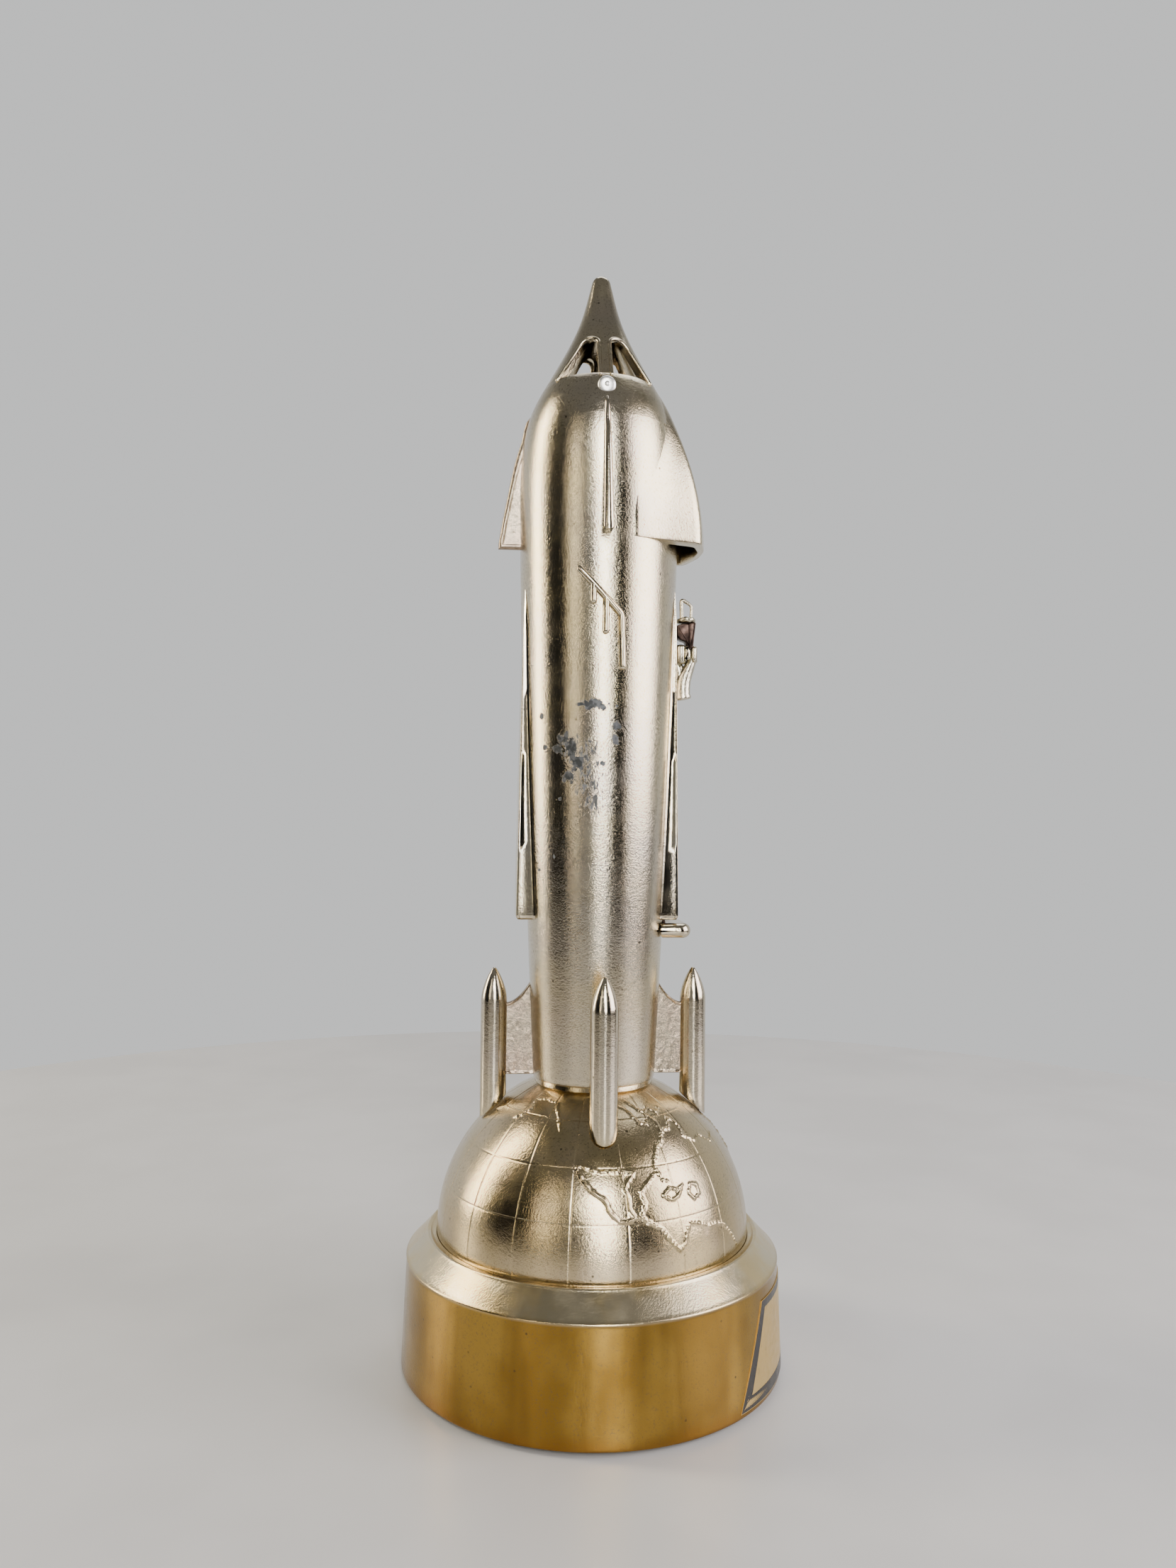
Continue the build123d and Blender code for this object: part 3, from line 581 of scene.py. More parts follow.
def make_drum():
    """Drum wall, raised edge bead, sloping shoulder and the ridge round the globe."""
    foot_in, edge_in = DRUM_FOOT_R - DRUM_WALL, DRUM_EDGE_R - DRUM_WALL
    corners = [
        (foot_in, DRUM_LOW_Z), (DRUM_FOOT_R - 0.1, DRUM_LOW_Z), (DRUM_FOOT_R, DRUM_LOW_Z + 0.5),
        (DRUM_EDGE_R, DRUM_EDGE_Z - 0.7), (DRUM_EDGE_R + 0.2, DRUM_EDGE_Z - 0.1),
        (DRUM_EDGE_R - 0.5, DRUM_EDGE_Z + 0.5), (RIDGE_R + 0.4, DRUM_RIDGE_Z - 0.55),
        (RIDGE_R, DRUM_RIDGE_Z), (RIDGE_R - 0.6, DRUM_RIDGE_Z - 0.02), (GLOBE_R + 1.0, DRUM_RIDGE_Z - 0.45),
        (GLOBE_R + 0.08, DRUM_RIDGE_Z - 0.5), (GLOBE_R + 0.08, DRUM_RIDGE_Z - 2.0),
        (RIDGE_R, DRUM_RIDGE_Z - 2.0), (edge_in, DRUM_EDGE_Z + 0.4)]
    radii = [0.3, 0.2, 0.5, 0.3, 0.35, 0.35, 0.3, 0.3, 0.3, 0.4, 0.1, 0.1, 0.3, 0.6]
    profile = rounded(corners, radii, 4)
    piece("drum", *lathe_points(profile, 288), drum_plate, stands_for=["base_drum"], angle=50)
    posts = []
    for step in range(3):
        turn = math.radians(30 + 120 * step)
        centre = (41.0 * math.cos(turn), 41.0 * math.sin(turn))
        ring = rounded([(0.9, 3.1), (2.4, 3.1), (2.4, 24.5), (0.9, 24.5)], [0, 0.3, 0.5, 0], 3)
        posts.append(lathe_points(ring, 20, centre))
    piece("drum_posts", *joined(*posts), drum_plate)


def make_foot():
    ring = rounded([(37.8, 0), (44.0, 0), (44.0, 2.0), (37.8, 2.0)], [0.6, 0.7, 0.3, 0.3], 4)
    piece("foot", *lathe_points(ring, 192), foot_rubber, stands_for=["foot_ring"])


LABEL_LOW_Z, LABEL_HIGH_Z = 2.3, 24.0
LABEL_LOW_HALF, LABEL_HIGH_HALF = 50.0, 37.3


def label_spot(across, z, lift):
    """Point on the label; across runs from -1 to 1 round the drum."""
    share = (z - LABEL_LOW_Z) / (LABEL_HIGH_Z - LABEL_LOW_Z)
    half = LABEL_LOW_HALF + share * (LABEL_HIGH_HALF - LABEL_LOW_HALF)
    x, y = bearing_xy(90 + across * half, drum_r(z) + lift)
    return x, y, z


def make_label():
    """Gold foil with a black frame; what was printed on it is left out."""
    columns, rows = np.linspace(-1, 1, 97), np.linspace(LABEL_LOW_Z, LABEL_HIGH_Z, 25)
    outer = [label_spot(u, z, 0.16) for z in rows for u in columns]
    inner = [label_spot(u, z, 0.0) for z in rows for u in columns]
    count, wide, high = len(outer), len(columns), len(rows)
    faces = grid(high, wide)
    faces += [tuple(i + count for i in reversed(f)) for f in grid(high, wide)]
    edge = grid_edge(high, wide)
    faces += [(a, a + count, b + count, b) for a, b in zip(edge, edge[1:] + edge[:1])]
    piece("label", np.array(outer + inner), faces, label_gold, stands_for=["label_plate"], angle=50)

    side, low_band, high_band = 0.073, 2.7, 1.7

    def outline(inset_share, inset_mm, lift):
        u = 1 - side * inset_share - 0.004
        z0 = LABEL_LOW_Z + 0.12 + low_band * inset_share + inset_mm
        z1 = LABEL_HIGH_Z - 0.12 - high_band * inset_share - inset_mm
        across = np.concatenate([np.linspace(-u, u, 97), np.full(24, u), np.linspace(u, -u, 97),
                                 np.full(24, -u)])
        climb = np.linspace(z0, z1, 26)[1:-1]
        heights = np.concatenate([np.full(97, z0), climb, np.full(97, z1), climb[::-1]])
        return [label_spot(a, z, lift) for a, z in zip(across, heights)]

    rings = [outline(0, 0, 0.12), outline(0, 0.02, 0.20), outline(1, 0, 0.20), outline(1, 0.02, 0.12)]
    points = np.concatenate([np.array(ring) for ring in rings])
    piece("label_frame", points, grid(4, len(rings[0]), wrap_rows=True, wrap_cols=True), label_ink, angle=50)


# ---------------------------------------------------------------- half globe
COASTS = (
    # height of the ridge in millimetres, beading, and its line by bearing and latitude in degrees
    (0.42, 0.0, [(-12, 36), (-9, 32), (-6, 29), (-1, 26), (1, 22), (4, 19), (7, 19), (10, 20),
                 (12, 20)]),
    (0.34, 0.2, [(10, 20), (8, 23), (8, 26), (7, 29), (8, 31), (11, 34), (5, 35), (-3, 35),
                 (-11, 37)]),
    (0.42, 0.7, [(12, 20), (15, 18), (19, 16), (22, 12), (26, 8), (28, 10), (29, 13), (31, 16),
                 (35, 15), (40, 13), (44, 13), (48, 12), (52, 8), (56, 3)]),
    (0.34, 0.5, [(12, 20), (14, 24), (13, 28), (17, 31), (20, 33)]),
    (0.40, 0.7, [(42, 52), (40, 50), (38, 48), (35, 48), (32, 47), (29, 44), (25, 42), (23, 39),
                 (21, 36), (22, 33), (23, 31), (25, 30)]),
    (0.32, 0.5, [(42, 52), (46, 48), (44, 44), (50, 41), (57, 42), (63, 38), (70, 40)]),
    (0.40, 0.4, [(22, 26), (25, 28), (28, 27), (31, 28), (28, 25), (25, 24), (22, 26)]),
    (0.40, 0.2, [(33, 25), (35, 28), (38, 27), (38, 24), (35, 23), (33, 25)]),
    (0.30, 0.6, [(-56, 51), (-52, 53), (-49, 56), (-52, 61), (-43, 62), (-33, 61), (-29, 57),
                 (-26, 54), (-23, 49)]),
    (0.30, 0.3, [(13, 60), (17, 58), (21, 52), (26, 51), (28, 55), (32, 52), (32, 48)]),
    (0.30, 0.3, [(20, 62), (24, 58), (29, 56), (33, 58), (38, 55), (42, 57)]),
    (0.34, 0.6, [(84, 44), (92, 38), (88, 30), (95, 22), (106, 16), (112, 24), (121, 28), (118, 38),
                 (104, 46), (92, 49), (84, 44)]),
    (0.34, 0.6, [(145, 52), (150, 40), (162, 33), (160, 20), (171, 9), (182, 14), (186, 27),
                 (200, 34), (196, 46), (178, 55), (160, 57), (145, 52)]),
    (0.32, 0.5, [(222, 30), (230, 20), (244, 13), (252, 21), (247, 33), (234, 38), (222, 30)]),
)
LANDS = ((20, 24, 9, 0.14), (36, 36, 15, 0.12), (102, 33, 13, 0.2), (172, 36, 18, 0.2), (238, 26, 11, 0.18))
MERIDIANS = range(-173, 180, 20)
PARALLELS = (18, 36, 54)


def on_globe(bearing, latitude, radius=GLOBE_R):
    x, y = bearing_xy(bearing, radius * math.cos(math.radians(latitude)))
    return np.array((x, y, GLOBE_Z + radius * math.sin(math.radians(latitude))))


def make_globe():
    """Half globe with raised coasts and fine engraved meridians and parallels."""
    rows = np.concatenate([np.linspace(-3.6, 0, 3)[:-1], np.linspace(0, 67.6, 300)])
    turns = np.concatenate([np.arange(-95, 95, 0.28), np.arange(95, 265, 0.9)])
    latitude, bearing = np.meshgrid(rows, turns, indexing="ij")
    flat, turn = np.radians(np.maximum(latitude, 0)).ravel(), np.radians(bearing).ravel()
    out = np.stack([np.cos(flat) * np.sin(turn), -np.cos(flat) * np.cos(turn), np.sin(flat)], 1)
    place = out * GLOBE_R
    lift = np.zeros(len(place))
    for height, beading, path in COASTS:
        fine = np.array([on_globe(*spot) for spot in path]) - (0, 0, GLOBE_Z)
        distance, along = np.full(len(place), 99.0), np.zeros(len(place))
        walked = 0.0
        for a, b in zip(fine, fine[1:]):
            length = np.linalg.norm(b - a)
            share = np.clip((place - a) @ (b - a) / length**2, 0, 1)
            spot = a + share[:, None] * (b - a)
            wander = 0.35 * np.sin(place[:, 0] * 2.3 + place[:, 2] * 1.7) + 0.2 * np.sin(place[:, 1] * 5.1)
            gap = np.linalg.norm(place - spot, axis=1) + 0.5 * np.abs(wander)
            nearer = gap < distance
            distance = np.where(nearer, gap, distance)
            along = np.where(nearer, walked + share * length, along)
            walked += length
        beads = 1 - beading * (0.5 + 0.5 * np.sin(along * 5.2 + 1.3 * np.sin(along * 1.9)))
        lift = np.maximum(lift, height * beads * np.exp(-(distance / 0.42) ** 2))
    for land_bearing, land_latitude, spread, height in LANDS:
        middle = on_globe(land_bearing, land_latitude) - (0, 0, GLOBE_Z)
        away = np.linalg.norm(place - middle, axis=1) / (GLOBE_R * math.radians(spread))
        lift += height * 0.5 * (1 - np.tanh((away - 1) * 4)) * (latitude.ravel() > 0)
    flat_degrees, turn_degrees = latitude.ravel(), bearing.ravel()
    groove = np.zeros(len(place))
    for meridian in MERIDIANS:
        offset = (turn_degrees - meridian + 180) % 360 - 180
        gap = np.abs(np.radians(offset)) * GLOBE_R * np.cos(flat)
        groove = np.maximum(groove, np.exp(-(gap / 0.16) ** 2))
    for parallel in PARALLELS:
        gap = np.abs(np.radians(flat_degrees - parallel)) * GLOBE_R
        groove = np.maximum(groove, np.exp(-(gap / 0.16) ** 2))
    lift -= 0.07 * groove * (flat_degrees > 0)
    lift *= np.clip((67.0 - flat_degrees) / 3, 0, 1)
    points = out * (GLOBE_R + lift)[:, None] + (0, 0, GLOBE_Z)
    points[:, 2] += np.where(flat_degrees < 0, flat_degrees * 1.0, 0)
    inner = out * (GLOBE_R - 1.5) + (0, 0, GLOBE_Z)
    inner[:, 2] += np.where(flat_degrees < 0, flat_degrees * 1.0, 0)
    count, row_size = len(points), len(turns)
    faces = grid(len(rows), row_size, wrap_cols=True)
    faces += [tuple(i + count for i in reversed(f)) for f in grid(len(rows), row_size, wrap_cols=True)]
    top = (len(rows) - 1) * row_size
    faces += [(i, (i + 1) % row_size, (i + 1) % row_size + count, i + count) for i in range(row_size)]
    faces += [(top + i, top + i + count, top + (i + 1) % row_size + count, top + (i + 1) % row_size)
              for i in range(row_size)]
    piece("globe", np.concatenate([points, inner]), faces, globe_plate, stands_for=["globe_dome"], angle=60)
    neck_low = GLOBE_Z + math.sqrt(GLOBE_R**2 - NECK_R**2) - 0.6
    ring = rounded([(SPIGOT_R + 0.1, neck_low - 1), (NECK_R + 0.3, neck_low), (NECK_R, BODY_FOOT_Z - 0.02),
                    (SPIGOT_R + 0.1, BODY_FOOT_Z - 0.02)], [0.1, 0.1, 0.25, 0.1], 3)
    piece("globe_neck", *lathe_points(ring, 160), globe_plate)
    flange = rounded([(GLOBE_R - 1.4, 26.5), (43.3, 26.5), (43.3, 28.0), (GLOBE_R - 0.2, 28.0),
                      (GLOBE_R - 0.2, 30.0), (GLOBE_R - 1.4, 30.0)], [0.2, 0.3, 0.3, 0.5, 0.2, 0.2], 3)
    piece("globe_flange", *lathe_points(flange, 160), globe_plate)


# ---------------------------------------------------------------- rocket body and nose
SHELL_OPENINGS = (
    # lowest and highest height, and half the width in degrees: lever, rail and hood
    (95.9, 109.5, 4.9), (109.5, 188.0, 9.3), (206.0, 232.5, 39))


def half_shell(name, middle_bearing, node):
    """One half of the body with its foot, spigot and the openings behind hood and rail."""
    extra = [90 + side * half for _, _, half in SHELL_OPENINGS for side in (-1, 1)]
    columns = np.unique(np.concatenate([np.arange(-90, 91, 2.0) + middle_bearing,
                                        [b for b in extra if abs(b - middle_bearing) < 89.9]]))
    ends = [z for low, high, _ in SHELL_OPENINGS for z in (low, high)]
    heights = np.unique(np.concatenate([np.arange(71.6, 243, 2.4), ends]))
    outer = [(SPIGOT_R, BODY_LOW_Z + 0.3), (SPIGOT_R, BODY_FOOT_Z), (BODY_FOOT_R - 0.5, BODY_FOOT_Z),
             (BODY_FOOT_R - 0.1, BODY_FOOT_Z + 0.1), (BODY_FOOT_R + 0.03, BODY_FOOT_Z + 0.45)]
    inner = [(SPIGOT_BORE_R, BODY_LOW_Z), (SPIGOT_BORE_R, BODY_FOOT_Z), (SPIGOT_BORE_R + 0.2, BODY_FOOT_Z + 1),
             (SPIGOT_BORE_R + 0.8, BODY_FOOT_Z + 2.2), (BODY_FOOT_R - BODY_WALL, BODY_FOOT_Z + 3)]
    for z in heights:
        outer.append((float(body_r(z)), z))
        inner.append((float(body_r(z)) - BODY_WALL, max(z, BODY_FOOT_Z + 3.2)))
    for step, z in ((0.0, SILL_Z - 0.08), (0.06, SILL_Z)):
        outer.append((float(body_r(z)) - step, z))
        inner.append((SILL_R - BODY_WALL, z))
    wide = len(columns)
    edge_dip = np.where(np.abs(np.abs(columns - middle_bearing) - 90) < 0.1, 0.10, 0.0)
    outside = [(*bearing_xy(b, r - dip), z) for r, z in outer for b, dip in zip(columns, edge_dip)]
    inside = [(*bearing_xy(b, r), z) for r, z in inner for b in columns]
    rows, count = len(outer), len(outside)

    def open_cell(i, j):
        z = (outer[i][1] + outer[i + 1][1]) / 2
        off = abs((columns[j] + columns[j + 1]) / 2 - 90)
        return any(low < z < high and off < half for low, high, half in SHELL_OPENINGS)

    solid = np.array([[not open_cell(i, j) for j in range(wide - 1)] for i in range(rows - 1)])
    faces = []
    for i in range(rows - 1):
        for j in range(wide - 1):
            if not solid[i, j]:
                continue
            a, d = i * wide + j, (i + 1) * wide + j
            b, c = a + 1, d + 1
            faces += [(a, b, c, d), (d + count, c + count, b + count, a + count)]
            for side, p, q in (((i - 1, j), a, b), ((i, j + 1), b, c), ((i + 1, j), c, d), ((i, j - 1), d, a)):
                beyond = 0 <= side[0] < rows - 1 and 0 <= side[1] < wide - 1 and solid[side]
                if not beyond:
                    faces.append((p, p + count, q + count, q))
    piece(name, np.array(outside + inside), faces, body_plate, stands_for=[node], angle=35)


def window_corners(side):
    """Corners of an opening beside the nose's post, as (x, z); its foot is the body's sill."""
    return [(side * 1.4, SILL_Z - 0.3), (side * 1.3, SILL_Z + 11.0), (side * 4.7, SILL_Z + 11.4),
            (side * 11.6, SILL_Z - 0.3)]


def surface_depth(x, z, inset=0.0):
    """Distance in front of the axis of the nose's surface at a spot in a front view."""
    r = float(body_r(z)) - inset
    return math.sqrt(max(r * r - x * x, 1.0))


def make_nose():
    """Hollow pointed nose with two windows front and back and thick round rims."""
    heights = np.linspace(SILL_Z, NOSE_TOP_Z - 0.001, 70)
    profile = [(float(body_r(z)), z) for z in heights] + [(0.02, NOSE_TOP_Z)]
    profile += [(0.02, 259.0), (3.6, 259.0), (7.4, 252.3), (12.2, 244.0), (11.6, SILL_Z), (11.6, NOSE_LOW_Z),
                (12.85, NOSE_LOW_Z), (12.85, SILL_Z)]
    obj = piece("nose", *lathe_points(profile, 160), plain_plate, stands_for=["nose_cone"], angle=35)
    cutters, rims = [], []
    for side in (-1, 1):
        hole = rounded(window_corners(side), [0.6, 1.6, 3.2, 0.5], 6)
        rim = resampled(rounded(window_corners(side), [0, 1.6, 3.2, 0], 6, closed=False), 0.5)
        for face in (-1, 1):
            cutters.append(stack([
                np.array([(x * reach / surface_depth(x, z), face * reach, z) for x, z in hole])
                for reach in (20.0, 4.0)]))
            rims.append(tube([(x, face * surface_depth(x, z, 0.12), z) for x, z in rim], 0.50, 10))
    cut(obj, *cutters)
    settle(obj, plain_plate, angle=35)
    piece("window_rims", *joined(*rims), plain_plate, angle=50)


def make_rivet():
    """Domed rivet heads, front and back, on one shank."""
    seat = float(body_r(RIVET_Z))
    heads = []
    profile = [(0.02, 0.95), (0.9, 0.92), (1.6, 0.82), (2.05, 0.6), (RIVET_HEAD_R, 0.2), (RIVET_HEAD_R, -1.3),
               (0.02, -1.3)]
    for face in (-1, 1):
        points, faces = lathe_points(rounded(profile, 0.3, 3), 48)
        placed = np.stack([points[:, 0], face * (seat + points[:, 2]), RIVET_Z + points[:, 1]], 1)
        heads.append((placed, faces))
    shank = tube([(0, y, RIVET_Z) for y in np.linspace(-seat, seat, 6)], 1.15, 16)
    piece("rivet", *joined(shank, *heads), bright_plate, stands_for=["top_rivet"], angle=50)


def on_body(x, z, lift=0.0):
    r = float(body_r(z)) + lift
    return x, -math.sqrt(r * r - x * x), z


def make_comb():
    """Raised comb on the front: a slanting rib, a long tail and two teeth."""
    strokes = (((-6.35, 194.2), (3.7, 183.5), (4.2, 171.0)), ((-3.0, 190.4), (-3.0, 186.6)),
               ((0.0, 187.2), (0.0, 179.4)))
    ribs = []
    for spots in strokes:
        line = resampled(rounded(spots, 0.8, 4, closed=False), 0.6)
        ribs.append(tube([on_body(x, z, 0.5) for x, z in line], 0.78, 14))
    piece("comb", *joined(*ribs), plain_plate, stands_for=["comb_trim"], angle=60)


# ---------------------------------------------------------------- hood, fins and boosters
def hood_crest(z):
    return HOOD_REACH - 0.0082 * max(z - HOOD_LOW_Z, 0) ** 1.963


def hood_section(z, turns, near_inset, far_inset, crest_inset):
    """Distance from the axis to the hood's wall along each bearing from +X."""
    share = min(max((z - HOOD_LOW_Z) / (HOOD_TOP_Z - HOOD_LOW_Z), 0), 1.15)
    taper = math.sqrt(1 - 0.72 * share**2)
    crest = hood_crest(z) - crest_inset
    near, far = HOOD_HALF * taper - near_inset, HOOD_HALF * taper - far_inset
    root = (HOOD_ROOT_HALF - HOOD_HALF) * taper
    corner_x = max(crest - 2.2, 8.0)
    corners = [(7.0, -near - root * 1.15), (corner_x, -near), (crest, -0.3 * near), (crest, 0.3 * far),
               (corner_x, far), (7.0, far + root * 1.15)]
    line = resampled(rounded(corners, [0, 1.3, 1.6, 1.6, 1.3, 0], 6, closed=False), 0.4)
    angle, reach = np.arctan2(line[:, 1], line[:, 0]), np.hypot(line[:, 0], line[:, 1])
    order = np.argsort(angle)
    return np.interp(turns, [-1.6, *angle[order], 1.6], [12.0, *reach[order], 12.0])


def make_hood():
    """Bulging hood that grows out of the body, open at its level foot."""
    turns = np.radians(np.linspace(-84, 84, 121))
    rings = []

    def ring(z, near, far, crest, blend, sink=0.0):
        r = float(body_r(z))
        wall = hood_section(z, turns, near, far, crest)
        if blend:
            wall = np.logaddexp(wall * 1.1, (r - 0.35) * 1.1) / 1.1 - sink
        else:
            wall = np.maximum(wall, r - 1.0)
        return np.stack([wall * np.cos(turns), wall * np.sin(turns), np.full(len(turns), z)], 1)

    rings.append(ring(HOOD_TOP_Z - 3.5, 2.4, 1.6, 1.5, False))
    for z in np.linspace(HOOD_TOP_Z - 6, HOOD_LOW_Z + 2.5, 12):
        rings.append(ring(z, 2.4, 1.6, 1.5, False))
    rings.append(ring(HOOD_LOW_Z + 0.3, 3.6, 1.5, 1.5, False))
    rings.append(ring(HOOD_LOW_Z, 3.4, 1.3, 1.3, False))
    rings.append(ring(HOOD_LOW_Z, 0.4, 0.3, 0.25, True))
    rings.append(ring(HOOD_LOW_Z + 0.1, 0.1, 0.08, 0.08, True))
    for z in np.concatenate([[HOOD_LOW_Z + 0.4], np.linspace(HOOD_LOW_Z + 1.0, HOOD_TOP_Z + 2.6, 44)]):
        rings.append(ring(z, 0, 0, 0, True))
    rings.append(ring(HOOD_TOP_Z + 3.0, 0, 0, 0, True, 0.6))
    points = np.concatenate(rings)
    faces = grid(len(rings), len(turns))
    wide = len(turns)
    faces.append(tuple(i * wide for i in range(len(rings))))
    faces.append(tuple(i * wide + wide - 1 for i in reversed(range(len(rings)))))
    last = (len(rings) - 1) * wide
    faces.append(tuple(range(last, last + wide)) + tuple(reversed(range(wide))))
    piece("hood", points, faces, body_plate, stands_for=["coin_hood"], angle=38)


def slab(low_line, high_line, half, rim, dip, bevel, outer_edge=False, rows=46, cols=40):
    """Plate between two lines of (x, z), with rounded edges, raised rims and a rough sunk panel."""
    rise = 0.5 - 0.5 * np.cos(np.linspace(0, np.pi, rows))
    low_line, high_line = np.asarray(low_line, float), np.asarray(high_line, float)
    spots = low_line[None] + rise[:, None, None] * (high_line - low_line)[None]
    length = np.linalg.norm(high_line - low_line, axis=1)[None]
    to_edge = np.minimum(rise[:, None] * length, (1 - rise[:, None]) * length)
    if outer_edge:
        to_edge = np.minimum(to_edge, spots[:, -1:, 0] - spots[:, :, 0])
    rounding = np.sqrt(np.clip(1 - (1 - np.clip(to_edge / bevel, 0, 1)) ** 2, 0, 1))
    sunk = np.clip((to_edge - rim) / 0.3, 0, 1)
    flat = np.stack([spots[..., 0], 0 * spots[..., 0], spots[..., 1]], -1).reshape(-1, 3)
    rough = ripple(flat, 0.9, 4, 3.7)
    thick = half * (0.04 + 0.96 * rounding) - sunk * (dip - 0.11 * rough.reshape(sunk.shape))
    sheets = [np.stack([spots[..., 0], side * thick, spots[..., 1]], -1).reshape(-1, 3)
              for side in (-1, 1)]
    count = rows * cols
    faces = grid(rows, cols) + [tuple(i + count for i in reversed(f)) for f in grid(rows, cols)]
    edge = grid_edge(rows, cols)
    faces += [(b, a, a + count, b + count) for a, b in zip(edge, edge[1:] + edge[:1])]
    return np.concatenate(sheets), faces


def make_tail_fins():
    """Three swept fins with level feet; each thickens towards its foot."""
    rise, spread = FIN_TOP_Z - FIN_LOW_Z, FIN_REACH - FIN_ROOT
    edge_x = cubic([FIN_LOW_Z + 1.4, 216.4, 231.0, FIN_TOP_Z], [FIN_REACH, 23.4, 19.7, 14.0], -0.14, -0.55)
    share = 0.5 - 0.5 * np.cos(np.linspace(0, np.pi, 40))
    low_line = [(FIN_ROOT + u * spread, FIN_LOW_Z) for u in share]
    high_line = [(FIN_ROOT + u * 2.0, FIN_TOP_Z) for u in share]
    for name, turn, finish in (("back", 90, plain_plate), ("left", 180, cast_plate),
                               ("front", 270, plain_plate)):
        points, faces = slab(low_line, high_line, FIN_HALF, 0.9, 0.22, 0.8, outer_edge=True, rows=70)
        height = np.clip(points[:, 2], FIN_LOW_Z, FIN_TOP_Z)
        straight = FIN_ROOT + (height - FIN_LOW_Z) / rise * (FIN_ROOT + 2.0 - FIN_REACH) + FIN_REACH - FIN_ROOT
        curved = edge_x(np.maximum(height, FIN_LOW_Z + 1.4))
        proud = body_r(height) + 0.6 * np.clip((FIN_PROUD_Z - height) / 1.5, -1, 1)
        curved = np.maximum(curved, proud)
        points[:, 0] = FIN_ROOT + (points[:, 0] - FIN_ROOT) * (curved - FIN_ROOT) / np.maximum(
            straight - FIN_ROOT, 0.1)
        grown = np.clip((FIN_TOP_Z - height) / rise, 0, 1)
        points[:, 1] *= 0.50 + 0.50 * grown**0.8
        piece(name + "_fin", turned_about(points, turn), faces, finish, stands_for=[name + "_tail_fin"],
              angle=50)


def make_boosters():
    """Four pointed pods on webs; each pod's foot follows the globe."""
    for name, turn in (("right", 0), ("back", 90), ("left", 180), ("front", 270)):
        tip_z = box_mm(name + "_booster_fin")[1][2]
        shoulder = tip_z - POD_STRAIGHT_BELOW_TIP
        ogive = cubic([shoulder, tip_z - 3.3, tip_z - 0.30], [POD_R, 0.66 * POD_R, 0.573], 0, -0.70)
        turns = circle_turns(64)

        def foot_z(radius):
            reach = np.hypot(POD_RING_R + radius * np.cos(turns), radius * np.sin(turns))
            return GLOBE_Z + np.sqrt((GLOBE_R + POD_GLOBE_GAP + 0.12) ** 2 - reach**2)

        rings = []
        for radius, lift in ((0.4, 0.5), (POD_R - 0.9, 0.35), (POD_R - 0.35, 0.0), (POD_R - 0.1, 0.12),
                             (POD_R, 0.4)):
            rings.append((np.full(64, radius), foot_z(radius) + lift))
        base = foot_z(POD_R) + 0.4
        for share in np.linspace(0.08, 1, 14):
            rings.append((np.full(64, POD_R), base + share * (shoulder - base)))
        for z in np.linspace(shoulder, tip_z - 0.30, 22)[1:]:
            rings.append((np.full(64, float(ogive(z))), np.full(64, z)))
        for angle in (55, 72, 85):
            a = math.radians(angle)
            rings.append((np.full(64, 0.7 * math.cos(a)), np.full(64, tip_z - 0.7 + 0.7 * math.sin(a))))
        sections = [np.stack([POD_RING_R + r * np.cos(turns), r * np.sin(turns), z], 1) for r, z in rings]
        points, faces = stack(sections)
        piece(name + "_pod", turned_about(points, turn), faces, plain_plate,
              stands_for=[name + "_booster_fin"], angle=40)
        reach = np.linspace(14.0, 23.6, 40)
        hollow = 88.1 + 6.6 * np.clip((23.0 - reach) / 7.4, 0, 1.2) ** 2.1
        points, faces = slab([(x, 70.3) for x in reach], list(zip(reach, hollow)), 1.0, 0.45, 0.30, 0.3)
        piece(name + "_web", turned_about(points, turn), faces, cast_plate, angle=50)


# ---------------------------------------------------------------- side rails
def rail_edge(z):
    """Reach of a rail from the axis; it leans in slightly towards the top."""
    return RAIL_X - 1.1 * min(max((z - 112) / 80, 0), 1)


